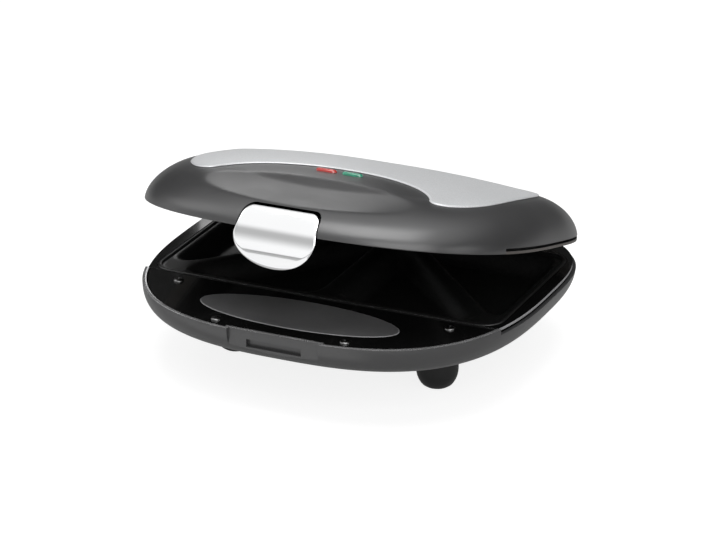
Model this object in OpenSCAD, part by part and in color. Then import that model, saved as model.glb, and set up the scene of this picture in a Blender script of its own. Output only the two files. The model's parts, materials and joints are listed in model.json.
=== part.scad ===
// Sandwich toaster: a bowl-shaped base and a domed lid on a rear hinge, each with a divided
// non-stick plate, and a chrome latch at the front of the lid.
// The origin is on the ground under the middle of the footprint. Front is -Y, the lid opens upwards.

/* [Outline] */
// Width over the rims
body_w = 240; // [225:1:260]
// Widest station to the front of the casing
front_reach = 130; // [124:1:140]
// Widest station to the back of the casing
rear_reach = 90; // [88:1:100]
// Squareness of the front half of the outline
front_square = 2.75; // [2.4:0.05:3.4]
// Squareness of the rear half of the outline
rear_square = 3.3; // [3:0.05:4]
// Wall of both casings
wall = 2.4; // [2:0.1:3]

/* [Base] */
// Height of the base rim over the ground
rim_h = 52; // [48:1:60]
// Height of the rounded side of the bowl
bowl_h = 21.9; // [19:0.1:24]
// Run of the rounded side, at the sides of the bowl
bowl_side_in = 26; // [18:0.1:28]
// Run of the rounded side, at the front of the bowl
bowl_front_in = 35.5; // [28:0.1:40]
// Run of the rounded side, at the back of the bowl
bowl_rear_in = 37; // [30:0.1:40]
// Squareness of the rounded side
bowl_square = 2.5; // [2:0.05:3]
// Depth of the flat floor under the rim
floor_drop = 36; // [34:0.5:38]
// Run of the slope between the rounded side and the floor
floor_in = 33; // [28:1:36]
// Run of that slope at the back
floor_rear_in = 16; // [14:1:20]

/* [Lid] */
// Gap between the two rims when the lid is shut
parting_gap = 0.6; // [0.5:0.1:1.2]
// Height of the rounded side of the lid
dome_h = 20.7; // [19:0.1:24]
// Extra height of the crown in the middle of the lid
crown_h = 10.5; // [10:0.1:14]
// Run of the rounded side, at the sides of the lid
dome_side_in = 22.3; // [20:0.1:28]
// Run of the rounded side, at the front of the lid
dome_front_in = 52.8; // [48:0.1:56]
// Run of the rounded side, at the back of the lid
dome_rear_in = 41; // [34:0.1:42]
// Squareness of the rounded side
dome_square = 1.95; // [1.5:0.05:2.1]
// Opening of the lid at rest, from shut
rest_opening = 15.4; // [12:0.1:20]

/* [Finger scoop] */
// Width of the scoop
scoop_w = 128; // [110:1:136]
// Length of the scoop from front to back
scoop_d = 50; // [40:1:52]
// Widest station to the middle of the scoop
scoop_at = 92; // [90:1:94]
// Depth of the scoop
scoop_depth = 4; // [3:0.1:5]

/* [Silver panel] */
// Thickness of the panel
panel_t = 1; // [0.8:0.1:1.4]
// Width of the panel
panel_w = 192.5; // [185:0.5:196]
// Widest station to the front corners of the panel
panel_front = 88.5; // [86:0.5:92]
// Widest station to the back of the panel
panel_rear = 60; // [50:1:64]
// Squareness of the outline of the panel
panel_square = 3.8; // [3.6:0.1:5]
// Width of the arch cut out of its front
arch_w = 136.5; // [130:0.5:139]
// Height of that arch
arch_h = 42; // [38:0.1:44]
// Widest station to the foot of the arch
arch_at = 82; // [80:0.5:85]

/* [Plates] */
// Side of the casing to the side of a plate
plate_side_in = 10; // [9.5:0.5:13]
// Back of the casing to the rear edge of a plate
plate_rear_in = 34.4; // [33:0.1:38]
// Corner radius of a plate
plate_r = 12; // [8:1:16]
// Widest station to the front edge of a plate
plate_front = 64.4; // [63:0.1:66]
// Thickness of the metal
plate_t = 2.4; // [2:0.1:3]
// Width of the raised bead round a plate
bead_w = 2.6; // [2:0.1:3.4]
// Height of that bead
bead_h = 1.2; // [0.8:0.1:1.6]
// Depth of a pocket
pocket_h = 11.5; // [9:0.5:12]
// Bead to the mouth of a pocket
pocket_edge = 2.5; // [2:0.1:4]
// Width of the land between the two squares
land_w = 9; // [8:0.5:12]
// Width of the ridge that parts a square into two triangles
ridge_w = 3; // [2.4:0.1:4]
// Run of a sloping pocket wall
pocket_in = 10; // [8:0.5:12]

/* [Frames and front panel] */
// Depth of the front panel under the rim
apron_drop = 0.8; // [0.6:0.1:1.2]
// Thickness of the front panel
apron_t = 1.6; // [1.2:0.1:2]
// Thickness of the frame round a plate
frame_t = 5; // [4.6:0.1:6]
// Thickness of the lip that shows at the sides
lip_t = 1.6; // [1.2:0.1:2]
// Height of the dark slot next to that lip
slot_h = 1.6; // [1.2:0.1:2]
// Lip of the base set in from the edge of the casing
base_lip_in = 2; // [1:0.1:2.4]
// Width of the oval inlay
inlay_w = 124; // [110:1:128]
// Length of the oval inlay from front to back
inlay_d = 40; // [34:1:41]
// Widest station to the middle of the inlay
inlay_at = 93.2; // [91:0.1:94]
// Thickness of the inlay
inlay_t = 1; // [0.8:0.1:1.1]

/* [Latch] */
// Width of the latch
latch_w = 50; // [46:0.5:52]
// Height of the latch over the rim line
latch_up = 12.9; // [12:0.1:13]
// Length of the latch under the rim line
latch_down = 20.5; // [18:0.5:21]
// Narrowing of the latch at its top, on each side
latch_taper = 1.5; // [1:0.1:4]
// Radius of the curved face of the latch
latch_curve = 29; // [26:0.5:32]
// Thickness of the chrome face
latch_skin = 1; // [0.8:0.1:1]
// Thickness of the core behind it
latch_core = 1.2; // [1:0.1:1.4]
// Half width of the flat recess for the latch
notch_half = 28; // [27:0.5:32]
// Depth of that recess
notch_set = 3.2; // [3.1:0.1:3.5]
// Width of the slot for the hook
hook_slot_w = 34; // [30:1:38]
// Top of that slot under the rim
hook_slot_top = 5.5; // [5:0.1:6.5]
// Height of that slot
hook_slot_h = 4.7; // [4.4:0.1:5.2]
// Depth of that slot
hook_slot_in = 2.6; // [2:0.1:3]
// Radius of the latch pin
latch_pin_r = 1.5; // [1.2:0.1:1.8]

/* [Hinge] */
// Sideways place of a hinge
hinge_x = 56; // [40:1:60]
// Hinge axis behind the casing
hinge_out = 6; // [5.8:0.1:7]
// Hinge axis over the base rim
hinge_up = 5.5; // [5.2:0.1:6]
// Radius of a hinge barrel
barrel_r = 6; // [5.6:0.1:6.4]
// Radius of a hinge pin
pin_r = 2; // [1.6:0.1:2.4]
// Radial play of the pins in what turns on them
pin_play = 0.08; // [0.04:0.01:0.1]
// Width of the barrel on the lid
knuckle_w = 12; // [10:0.5:14]
// Width of one ear on the base
ear_w = 5; // [4:0.5:6]

/* [Feet and screws] */
// Sideways place of the feet
foot_x = 65; // [60:1:72]
// Widest station to the front feet
foot_front = 43; // [40:1:50]
// Widest station to the rear feet
foot_rear = 44; // [38:1:46]
// Radius of a foot at its top
foot_r = 12.4; // [11:0.1:14]
// Radius of a rubber pad
pad_r = 7; // [6:0.5:8]
// Thickness of a rubber pad
pad_t = 2; // [1.6:0.1:3]
// Shank radius of the screws
screw_r = 1.5; // [1.2:0.1:1.8]
// Head radius of the screws
head_r = 3.1; // [2.8:0.1:3.6]
// Sideways places of the front panel screws, outer and inner
apron_screw_x = [85.8, 40.2];
// Their places in front of the widest station, outer and inner
apron_screw_at = [75.4, 117.9];

/* [Heaters and lamps] */
// Radius of the heater tube
tube_r = 3.2; // [3:0.1:3.4]
// Half width of the heater loop
loop_x = 68; // [60:1:72]
// Radius of its bends
loop_r = 14; // [12:1:18]
// Thickness of the reflector sheet
sheet_t = 0.8; // [0.6:0.1:1]
// Length of an indicator lens
lens_w = 13; // [11:0.5:14]
// Depth of an indicator lens
lens_d = 4.8; // [4:0.1:5.2]
// Sideways place of the lenses
lens_x = 8.2; // [8:0.1:10]

/* [Hidden] */

ring_n = 72;           // points round a casing
outline_n = 120;       // points round a curve cut in a flat outline
fit_gap = 0.3;         // between pieces that lie beside each other
seat_gap = 0.1;        // between pieces that lie on each other
cut_over = 1;          // how far a cutter runs past the face that it opens
cut_tall = 60;         // height of what cuts right through the lid
bore_gap = 0.2;        // round a screw that passes through a piece
boss_r = 4;            // bosses that take the screws
pilot_l = 9;           // depth of their pilot holes
half_w = body_w / 2;
widest_y = (front_reach - rear_reach - hinge_out - barrel_r) / 2;
front_y = widest_y - front_reach;
back_y = widest_y + rear_reach;
rim_z = rim_h;
lid_z = rim_z + parting_gap;
floor_z = rim_z - floor_drop;
hinge_y = back_y + hinge_out;
hinge_z = rim_z + hinge_up;
plate_w = body_w - 2 * plate_side_in;
plate_d = plate_front + rear_reach - plate_rear_in;
plate_y0 = widest_y - plate_front;
plate_mid_y = plate_y0 + plate_d / 2;
step_y = plate_y0 - 1;                    // where the front panel ends and the side lips start
apron_z = rim_z - apron_drop - apron_t;   // underside of the front panel
frame_drop = 0.4;                         // top of the surround under the rim
land_drop = bead_h;                       // land of a plate under its bead
under_land = land_drop + plate_t;         // underside of a plate under its bead
heater_drop = under_land + pocket_h + tube_r + seat_gap;
sheet_drop = heater_drop + tube_r + seat_gap;
post_ys = [plate_mid_y - plate_d * 0.21, plate_mid_y + plate_d * 0.2];   // posts that hold a plate
post_r = 3.6;
dark = [0.2, 0.2, 0.21];
black = [0.07, 0.07, 0.07];
steel = [0.72, 0.73, 0.75];

function signed_pow(v, e) = sign(v) * pow(abs(v), e);

// One closed ring of the casing outline, given its half width and its front and rear reach
function oval(w, f, r, z, n = ring_n) = [for (i = [0:n - 1])
    let (t = 360 * i / n, ahead = sin(t) < 0, e = 2 / (ahead ? front_square : rear_square))
    [w * signed_pow(cos(t), e), widest_y + (ahead ? f : r) * signed_pow(sin(t), e), z]];

function flat(ring) = [for (p = ring) [p.x, p.y]];

// The same outline as a flat polygon, set in from the casing edge
function oval_2d(inset) = flat(oval(half_w - inset, front_reach - inset, rear_reach - inset, 0));

// Closed solid through a stack of rings
module lofted(rings) {
    n = len(rings[0]);
    m = len(rings);
    sides = [for (j = [0:m - 2], i = [0:n - 1])
        [j * n + i, (j + 1) * n + i, (j + 1) * n + (i + 1) % n, j * n + (i + 1) % n]];
    caps = [[for (i = [0:n - 1]) i], [for (i = [n - 1:-1:0]) (m - 1) * n + i]];
    polyhedron([for (ring = rings, p = ring) p], concat(sides, caps), 10);
}

// Slab with the casing outline between two heights
module slab(inset, z0, z1) {
    translate([0, 0, z0]) linear_extrude(z1 - z0) polygon(oval_2d(inset));
}

module rounded_rect(w, d, r) {
    for (x = [-1, 1], y = [-1, 1]) translate([x * (w / 2 - r), y * (d / 2 - r)]) circle(r, $fn = 48);
    square([w - 2 * r, d], center = true);
    square([w, d - 2 * r], center = true);
}

module plate_slab(grow, z0, z1) {
    translate([0, plate_mid_y, z0]) linear_extrude(z1 - z0)
        rounded_rect(plate_w + 2 * grow, plate_d + 2 * grow, plate_r + grow);
}

module box(x0, x1, y0, y1, z0, z1) {
    translate([x0, y0, z0]) cube([x1 - x0, y1 - y0, z1 - z0]);
}

module post(x, y, z0, z1, r) {
    translate([x, y, z0]) cylinder(h = z1 - z0, r = r, $fn = 32);
}

// Cylinder along X
module rod_x(x0, x1, y, z, r, fn = 48) {
    translate([x0, y, z]) rotate([0, 90, 0]) cylinder(h = x1 - x0, r = r, $fn = fn);
}

// Everything that rides on the lid is drawn shut and opened here
module on_lid() {
    translate([0, hinge_y, hinge_z]) rotate([-rest_opening, 0, 0]) translate([0, -hinge_y, -hinge_z]) children();
}

// What lies in the lid as its twin lies in the base is that twin turned over
module turned_over() {
    translate([0, 0, rim_z + lid_z]) mirror([0, 0, 1]) children();
}

// ---- base casing ----

function bowl_ring(u, inset) =
    let (k = 1 - pow(cos(u), 2 / bowl_square))
    oval(half_w - inset - bowl_side_in * k, front_reach - inset - bowl_front_in * k,
        rear_reach - inset - bowl_rear_in * k, rim_z - (bowl_h - inset) * pow(sin(u), 2 / bowl_square));

function floor_ring(inset) =
    oval(half_w - bowl_side_in - floor_in, front_reach - bowl_front_in - floor_in,
        rear_reach - bowl_rear_in - floor_rear_in, floor_z + inset);

bowl_outer = concat([floor_ring(0)], [for (u = [90:-11.25:0]) bowl_ring(u, 0)]);
bowl_inner = concat([for (u = [0:15:90]) bowl_ring(u, wall)], [floor_ring(wall)]);

foot_places = [for (x = [-foot_x, foot_x], y = [widest_y - foot_front, widest_y + foot_rear]) [x, y]];
foot_top = floor_z - seat_gap;
apron_screws = [for (s = [-1, 1], i = [0, 1]) [s * apron_screw_x[i], widest_y - apron_screw_at[i]]];
screw_ahead = 7;         // screws of the frames: in front of the step, and before the back
screw_before_back = 15;
rear_screw_x = 30;
surround_screw_in = 22;  // front ones in from the side of the casing, below and above
lid_screw_in = 28;
surround_screw_places = [for (s = [-1, 1])
    each [[s * (half_w - surround_screw_in), step_y - screw_ahead], [s * rear_screw_x, back_y - screw_before_back]]];
surround_z = rim_z - frame_drop - frame_t;       // underside of the surround
notch_y = front_y + notch_set;
notch_back = notch_y + wall;
gland_z = rim_z - 16.5;
gland_r = 5.5;
collar_r = gland_r + 3.5;
gland_face = back_y - 1.5;     // flat end of the collar that the gland seats on
vent_w = 3;
vent_l = 34;
vent_pitch = 8;
apron_in = wall + 0.7;         // set-in of the front panel, and of the frames below the lips
frame_in = wall + 1.1;

bracket_w = knuckle_w + 2 * (ear_w + fit_gap);
bracket_top = rim_z - 6;
bracket_bottom = rim_z - 13;
bracket_front = back_y - 13;

// Room for the brackets in the back of the casing and of the surround
module bracket_rooms() {
    for (s = [-1, 1])
        box(s * hinge_x - bracket_w / 2 - fit_gap, s * hinge_x + bracket_w / 2 + fit_gap,
            bracket_front - fit_gap, back_y + cut_over, bracket_bottom - fit_gap, rim_z + cut_over);
}

module along_y(x, y0, y1, z, r) {
    translate([x, y0, z]) rotate([-90, 0, 0]) cylinder(h = y1 - y0, r = r, $fn = 48);
}

// Slot for the hook, or with a wall of its own round and behind it
module hook_slot(grow) {
    box(-hook_slot_w / 2 - grow, hook_slot_w / 2 + grow, front_y - cut_over, notch_y + hook_slot_in + grow,
        rim_z - hook_slot_top - hook_slot_h - grow, rim_z - hook_slot_top + grow);
}

module base_casing() color(dark) difference() {
    union() {
        lofted(concat(bowl_outer, bowl_inner));
        // wall behind the latch recess and round the slot for the hook
        intersection() {
            union() {
                box(-notch_half - wall, notch_half + wall, notch_y, notch_back, rim_z - 12, rim_z - seat_gap);
                hook_slot(wall);
            }
            lofted(bowl_outer);
        }
        for (p = foot_places) post(p.x, p.y, floor_z, floor_z + pilot_l + wall, foot_r);
        intersection() {
            union() {
                for (p = apron_screws) post(p.x, p.y, floor_z, apron_z - seat_gap, boss_r);
                for (p = surround_screw_places) post(p.x, p.y, floor_z, surround_z - seat_gap, boss_r);
            }
            lofted(bowl_outer);
        }
        along_y(0, back_y - 16, gland_face, gland_z, collar_r);
    }
    // latch recess, hook slot, lowered side rim
    box(-notch_half, notch_half, front_y - cut_over, notch_y, floor_z, rim_z + cut_over);
    hook_slot(0);
    box(-half_w - cut_over, half_w + cut_over, step_y, back_y + cut_over,
        rim_z - frame_drop - lip_t - slot_h, rim_z + cut_over);
    // pilot holes
    for (p = apron_screws) post(p.x, p.y, apron_z - pilot_l, apron_z + cut_over, screw_r);
    for (p = surround_screw_places) post(p.x, p.y, surround_z - pilot_l, surround_z + cut_over, screw_r);
    for (p = foot_places) post(p.x, p.y, floor_z - cut_over, floor_z + pilot_l, screw_r);
    // openings at the back: cord gland and hinge brackets
    along_y(0, back_y - 20, back_y + cut_over, gland_z, gland_r);
    bracket_rooms();
    // floor vents
    for (s = [-1, 1], i = [-2:2])
        box(s * 26 - vent_l / 2, s * 26 + vent_l / 2, widest_y + i * vent_pitch - vent_w / 2,
            widest_y + i * vent_pitch + vent_w / 2, floor_z - cut_over, floor_z + wall + cut_over);
}

module front_panel() color(black) difference() {
    intersection() {
        slab(apron_in, apron_z, rim_z - apron_drop);
        box(-half_w, half_w, front_y, step_y - fit_gap, apron_z - cut_over, rim_z + cut_over);
    }
    box(-notch_half - wall - fit_gap, notch_half + wall + fit_gap, front_y, notch_back + fit_gap,
        apron_z - cut_over, rim_z + cut_over);
    inlay_prism(fit_gap / 2, rim_z - apron_drop - inlay_t, rim_z);
    for (p = apron_screws) post(p.x, p.y, apron_z - cut_over, rim_z, screw_r + bore_gap);
}

module inlay_prism(grow, z0, z1) {
    w = inlay_w / 2 + grow;
    d = inlay_d / 2 + grow;
    translate([0, widest_y - inlay_at, z0]) linear_extrude(z1 - z0)
        polygon([for (t = [0:5:355]) [w * cos(t), d * sin(t)]]);
}

module grip_inlay() color([0.2, 0.2, 0.2])
    inlay_prism(0, rim_z - apron_drop - inlay_t + 0.05, rim_z - apron_drop + 0.2);

low_head_h = 1.6;      // height of the heads that sink into the frames
ledge_w = 3;           // ledge that a plate rests on

// Seat of a surround screw's head: under the front panel, or flush at the back
function surround_screw_z(p) = (p.y > 0 ? rim_z - frame_drop : apron_z - seat_gap) - low_head_h;

// Frame round the lower plate, with a lip towards the edge of the casing at the sides and back
module plate_surround() color(black) difference() {
    union() {
        intersection() {
            slab(frame_in, surround_z, rim_z - frame_drop);
            box(-half_w, half_w, step_y - 2 * screw_ahead, back_y, surround_z, rim_z);
        }
        intersection() {
            slab(base_lip_in, rim_z - frame_drop - lip_t, rim_z - frame_drop);
            box(-half_w, half_w, step_y, back_y, surround_z, rim_z);
        }
    }
    // the front bar lies under the front panel
    box(-half_w, half_w, step_y - 20, step_y, apron_z - seat_gap, rim_z + cut_over);
    // seat of the plate and the opening under it
    plate_slab(fit_gap, rim_z - under_land - seat_gap, rim_z + cut_over);
    plate_slab(-ledge_w, surround_z - cut_over, rim_z + cut_over);
    bracket_rooms();
    for (p = apron_screws) post(p.x, p.y, surround_z - cut_over, rim_z, boss_r + fit_gap);
    for (p = surround_screw_places) {
        post(p.x, p.y, surround_z - cut_over, rim_z + cut_over, screw_r + bore_gap);
        post(p.x, p.y, surround_screw_z(p) - 0.05, rim_z + cut_over, head_r + bore_gap);
    }
}

// ---- plates ----

// Frustum with a straight-sided plan, from its mouth to a smaller floor
module pocket(mouth, floor_pts, z0, z1) {
    lofted([[for (p = floor_pts) [p.x, p.y, z0]], [for (p = mouth) [p.x, p.y, z1]]]);
}

corner_cut = 7;        // cut of the corners of a pocket
sharp_back = 1.6;      // the two sharp corners are cut back further, as multiples of that cut
sharp_in = 1.3;

// Corner points of a triangle with its corners cut, set in by d from all sides.
// The triangle has its right angle at c, and legs of length w and h along sx and sy
function tri_cut(c, sx, sy, w, h, d) =
    let (r = w * h / (w + h + sqrt(w * w + h * h)), f = (r - d) / r,
        g = function(x, y) [c.x + sx * (r + (x - r) * f), c.y + sy * (r + (y - r) * f)],
        a = corner_cut, b = corner_cut * sharp_in,
        pts = [g(a, 0), g(w - a * sharp_back, 0), g(w - b, b * h / w), g(b * w / h, h - b),
            g(0, h - a * sharp_back), g(0, a)])
    (sx * sy > 0) ? pts : [for (i = [5:-1:0]) pts[i]];

pocket_w = (plate_w - 2 * bead_w - 2 * pocket_edge - land_w) / 2;
pocket_d = plate_d - 2 * bead_w - 2 * pocket_edge;
leg_loss = ridge_w * 0.75;        // what the ridge takes from each leg of a triangle

// Both triangles of the square on side s: the ridge runs from its outer front corner to its inner back corner
module pocket_pair(s, grow, z_mouth, z_floor) {
    inner_x = s * land_w / 2;
    outer_x = s * (land_w / 2 + pocket_w);
    y0 = plate_mid_y - pocket_d / 2;
    y1 = y0 + pocket_d;
    w = pocket_w - leg_loss * 2;
    h = pocket_d - leg_loss * 2;
    for (tri = [[[inner_x, y0], s, 1], [[outer_x, y1], -s, -1]])
        pocket(tri_cut(tri[0], tri[1], tri[2], w, h, -grow),
            tri_cut(tri[0], tri[1], tri[2], w, h, pocket_in - grow), z_floor, z_mouth);
}

module divided_plate() difference() {
    union() {
        plate_slab(0, rim_z - under_land, rim_z);
        for (s = [-1, 1])
            pocket_pair(s, plate_t * 0.6, rim_z - land_drop - 0.2, rim_z - under_land - pocket_h);
        for (y = post_ys) post(0, y, rim_z - sheet_drop, rim_z - land_drop - 0.4, post_r);
    }
    plate_slab(-bead_w, rim_z - land_drop, rim_z + cut_over);
    for (s = [-1, 1]) pocket_pair(s, 0, rim_z - land_drop + 0.1, rim_z - land_drop - pocket_h);
    for (y = post_ys) post(0, y, rim_z - sheet_drop - cut_over, rim_z - sheet_drop + 8, screw_r);
}

module lower_plate() color([0.1, 0.1, 0.1]) divided_plate();

heater_ahead = 27;     // front edge of a plate to the front of the loop
heater_behind = 30;    // back of the loop to the back edge of the plate
tube_end_x = 18;       // where the tube and its contact pins end
pin_end_x = 10;
sheet_over = 8;        // reflector past the middle of the tube, at the sides
sheet_ahead = 5;       // and at the front and back

// U-shaped heater tube with two cold ends at the back
module heater() {
    z = rim_z - heater_drop;
    y0 = plate_y0 + heater_ahead;
    y1 = plate_y0 + plate_d - heater_behind;
    for (s = [-1, 1]) {
        translate([s * loop_x, y0 + loop_r, z]) rotate([-90, 0, 0])
            cylinder(h = y1 - y0 - 2 * loop_r, r = tube_r, $fn = 32);
        translate([s * (loop_x - loop_r), y0 + loop_r, z]) rotate([0, 0, s > 0 ? -90 : 180])
            rotate_extrude(angle = 90, $fn = 64) translate([loop_r, 0]) circle(tube_r, $fn = 32);
        translate([s * (loop_x - loop_r), y1 - loop_r, z]) rotate([0, 0, s > 0 ? 0 : 90])
            rotate_extrude(angle = 90, $fn = 64) translate([loop_r, 0]) circle(tube_r, $fn = 32);
        rod_x(s > 0 ? tube_end_x : -loop_x + loop_r, s > 0 ? loop_x - loop_r : -tube_end_x, y1, z, tube_r, 32);
        rod_x(s > 0 ? pin_end_x : -tube_end_x, s > 0 ? tube_end_x : -pin_end_x, y1, z, tube_r / 2, 32);
    }
    rod_x(-loop_x + loop_r, loop_x - loop_r, y0, z, tube_r, 32);
}

module lower_element() color(steel) heater();

// Sheet tray under the heater, with turned-up sides
module reflector() difference() {
    x1 = loop_x + sheet_over;
    y0 = plate_y0 + heater_ahead - sheet_ahead;
    y1 = plate_y0 + plate_d - heater_behind + sheet_ahead;
    z1 = rim_z - sheet_drop;
    box(-x1, x1, y0, y1, z1 - sheet_t, z1 + 3);
    box(-x1 + sheet_t, x1 - sheet_t, y0 - cut_over, y1 + cut_over, z1, z1 + 4);
    for (y = post_ys) post(0, y, z1 - 2, z1 + cut_over, screw_r + bore_gap);
}

module lower_reflector() color(steel) reflector();

cross_w = 0.7;         // cross recess of a screw
cross_deep = 0.8;
head_h = 1.4;

// Pan-head screw with its head's underside at the origin, head up
module screw(l, hh = head_h) {
    hr = head_r;
    difference() {
        union() {
            translate([0, 0, -l]) cylinder(h = l + seat_gap, r = screw_r - 0.05, $fn = 24);
            rotate_extrude($fn = 32)
                polygon([[0, 0], [hr, 0], [hr, hh * 0.35], [hr * 0.8, hh * 0.8], [hr * 0.45, hh], [0, hh]]);
        }
        for (a = [0, 90]) rotate([0, 0, a]) translate([-hr * 0.55, -cross_w / 2, hh - cross_deep])
            cube([hr * 1.1, cross_w, 2]);
    }
}

module plate_screws() {
    for (y = post_ys) translate([0, y, rim_z - sheet_drop - sheet_t - 0.05])
        mirror([0, 0, 1]) screw(7);
}

module lower_plate_screws() color(steel) plate_screws();

// Disc thermostat in the valley between the two squares, with two blade terminals
module thermostat() color([0.85, 0.82, 0.74]) {
    z = rim_z - under_land;
    post(0, widest_y, z - 11, z - seat_gap, 4.5);
    post(0, widest_y, z - 12.5, z - 10.9, 3.5);
    for (s = [-1, 1]) box(s * 2 - 0.4, s * 2 + 0.4, widest_y - 2.5, widest_y + 2.5, z - 17, z - 12.4);
}

block_w = 34;          // terminal block
block_d = 14;
block_h = 6;
block_pitch = 11;      // between its three screws
block_y = widest_y + floor_rear_in + 2;

module terminal_block() color([0.88, 0.87, 0.83]) difference() {
    z = floor_z + wall;
    box(-block_w / 2, block_w / 2, block_y, block_y + block_d, z + seat_gap, z + block_h);
    for (i = [-1:1]) {
        post(i * block_pitch, block_y + block_d * 0.3, z + 2, z + block_h + cut_over, 2);
        along_y(i * block_pitch, block_y - cut_over, block_y + block_d + cut_over, z + 3, 1.2);
    }
}

cord_r = 3.4;          // bore for the cord
gland_flange = 5;      // length of the gland outside and inside
gland_l = 16;

module cord_gland() color(black) translate([0, gland_face + seat_gap, gland_z]) rotate([90, 0, 0]) difference() {
    union() {
        translate([0, 0, -gland_flange])
            cylinder(h = gland_flange, r1 = gland_r + 0.8, r2 = gland_r + 2, $fn = 48);
        cylinder(h = gland_l, r = gland_r - seat_gap, $fn = 48);
    }
    translate([0, 0, -gland_flange - cut_over])
        cylinder(h = gland_flange + gland_l + 2 * cut_over, r = cord_r, $fn = 48);
}

// ---- feet ----

foot_web = 4;          // material under the head of a foot screw

// Round foot that narrows to a rounded lower end over its pad
module foot() difference() {
    rotate_extrude($fn = 64) polygon([[0, 0.4], [foot_r * 0.62, 0.4], [foot_r * 0.8, 2.2], [foot_r * 0.93, 5.5],
        [foot_r, 10], [foot_r, foot_top], [0, foot_top]]);
    post(0, 0, -cut_over, pad_t, pad_r + 0.15);
    post(0, 0, -cut_over, foot_top - foot_web, head_r + 2 * bore_gap);
    post(0, 0, -cut_over, foot_top + cut_over, screw_r + bore_gap);
}

module feet_row(y) for (p = foot_places) if (p.y == y) translate([p.x, p.y, 0]) foot();

module front_feet() color(black) feet_row(widest_y - foot_front);
module rear_feet() color(black) feet_row(widest_y + foot_rear);
module foot_pads() color([0.15, 0.15, 0.15]) for (p = foot_places) post(p.x, p.y, 0, pad_t - 0.05, pad_r);
module foot_screws() color(steel) for (p = foot_places)
    translate([p.x, p.y, foot_top - foot_web - 0.05]) mirror([0, 0, 1]) screw(11);
module panel_screws() color(steel) for (p = apron_screws)
    translate([p.x, p.y, rim_z - apron_drop + 0.05]) screw(9);
module surround_screws() color(steel) for (p = surround_screw_places)
    translate([p.x, p.y, surround_screw_z(p)]) screw(9, low_head_h - 0.1);

// ---- hinges ----

// Side view of an ear: from the bracket out through the back of the casing, and up to the barrel
ear_profile = [[bracket_front, bracket_bottom], [back_y - 3, bracket_bottom],
    [hinge_y + barrel_r * 0.86, hinge_z - barrel_r * 0.5], [hinge_y - barrel_r * 0.75, hinge_z + barrel_r * 0.66],
    [back_y + fit_gap, rim_z - 1], [back_y - 6, bracket_top], [bracket_front, bracket_top]];

module ear(x0, x1) {
    rod_x(x0, x1, hinge_y, hinge_z, barrel_r);
    translate([x0, 0, 0]) rotate([90, 0, 90]) linear_extrude(x1 - x0) polygon(ear_profile);
}

module hinge_brackets() color(black) for (s = [-1, 1]) translate([s * hinge_x, 0, 0]) difference() {
    union() {
        for (a = [-1, 1])
            ear(a > 0 ? knuckle_w / 2 + fit_gap : -bracket_w / 2, a > 0 ? bracket_w / 2 : -knuckle_w / 2 - fit_gap);
        box(-bracket_w / 2, bracket_w / 2, bracket_front, back_y - 1, bracket_bottom, bracket_top);
    }
    rod_x(-bracket_w, bracket_w, hinge_y, hinge_z, pin_r + 0.01);
    rod_x(-knuckle_w / 2 - fit_gap, knuckle_w / 2 + fit_gap, hinge_y, hinge_z, barrel_r + 0.6);
}

module hinge_pins() color(steel) for (s = [-1, 1]) {
    rod_x(s * hinge_x - bracket_w / 2 - 0.8, s * hinge_x + bracket_w / 2 + 0.8, hinge_y, hinge_z, pin_r);
}

arm_z = lid_z + 0.4 + frame_t + seat_gap;     // the arms lie on the lid frame
arm_t = 2.6;
arm_l = 26;
arm_room_d = 14;                              // depth of the room for an arm in the back of the lid

// Side view of an arm: from the barrel through the back of the lid, and along the frame
arm_profile = [[hinge_y, hinge_z - barrel_r * 0.55], [hinge_y, hinge_z + barrel_r * 0.85],
    [back_y - 6, arm_z + arm_t + 0.6], [back_y - 10, arm_z + arm_t], [back_y - arm_l, arm_z + arm_t],
    [back_y - arm_l, arm_z], [back_y - 1, arm_z]];

// Room for the arms in the back of the lid
module arm_rooms() {
    for (s = [-1, 1])
        box(s * hinge_x - knuckle_w / 2 - fit_gap, s * hinge_x + knuckle_w / 2 + fit_gap,
            back_y - arm_room_d, back_y + cut_over, lid_z - cut_over, hinge_z + barrel_r + fit_gap);
}

module hinge_arms() color(steel) on_lid() for (s = [-1, 1]) translate([s * hinge_x, 0, 0]) difference() {
    union() {
        rod_x(-knuckle_w / 2, knuckle_w / 2, hinge_y, hinge_z, barrel_r - 0.4);
        translate([-knuckle_w / 2, 0, 0]) rotate([90, 0, 90]) linear_extrude(knuckle_w) polygon(arm_profile);
    }
    rod_x(-bracket_w, bracket_w, hinge_y, hinge_z, pin_r + pin_play);
}

// ---- lid ----

function scoop(p) =
    let (q = pow(p.x / (scoop_w / 2), 2) + pow((p.y - widest_y + scoop_at) / (scoop_d / 2), 2))
    q < 1 ? scoop_depth * (1 - q) : 0;

function scooped(ring) = [for (p = ring) [p.x, p.y, p.z - scoop(p)]];

// Ring on the rounded side, u from 0 at the rim to 90 where the crown starts
function dome_ring(u, inset, lift = 0) =
    let (k = 1 - pow(cos(u), 2 / dome_square), s = 1 - dome_side_in * k / half_w)
    scooped(oval(half_w - inset - dome_side_in * k, front_reach - inset - dome_front_in * k,
        rear_reach - inset - dome_rear_in * k,
        lid_z + lift + (dome_h - inset) * pow(sin(u), 2 / dome_square) + crown_h * (1 - s * s)));

// Ring on the crown, m from 1 at its edge to 0 in the middle
function crown_ring(m, inset, lift = 0) =
    let (s = (1 - dome_side_in / half_w) * m)
    scooped(oval((half_w - inset - dome_side_in) * m, (front_reach - inset - dome_front_in) * m,
        (rear_reach - inset - dome_rear_in) * m, lid_z + lift + dome_h - inset + crown_h * (1 - s * s)));

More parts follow.
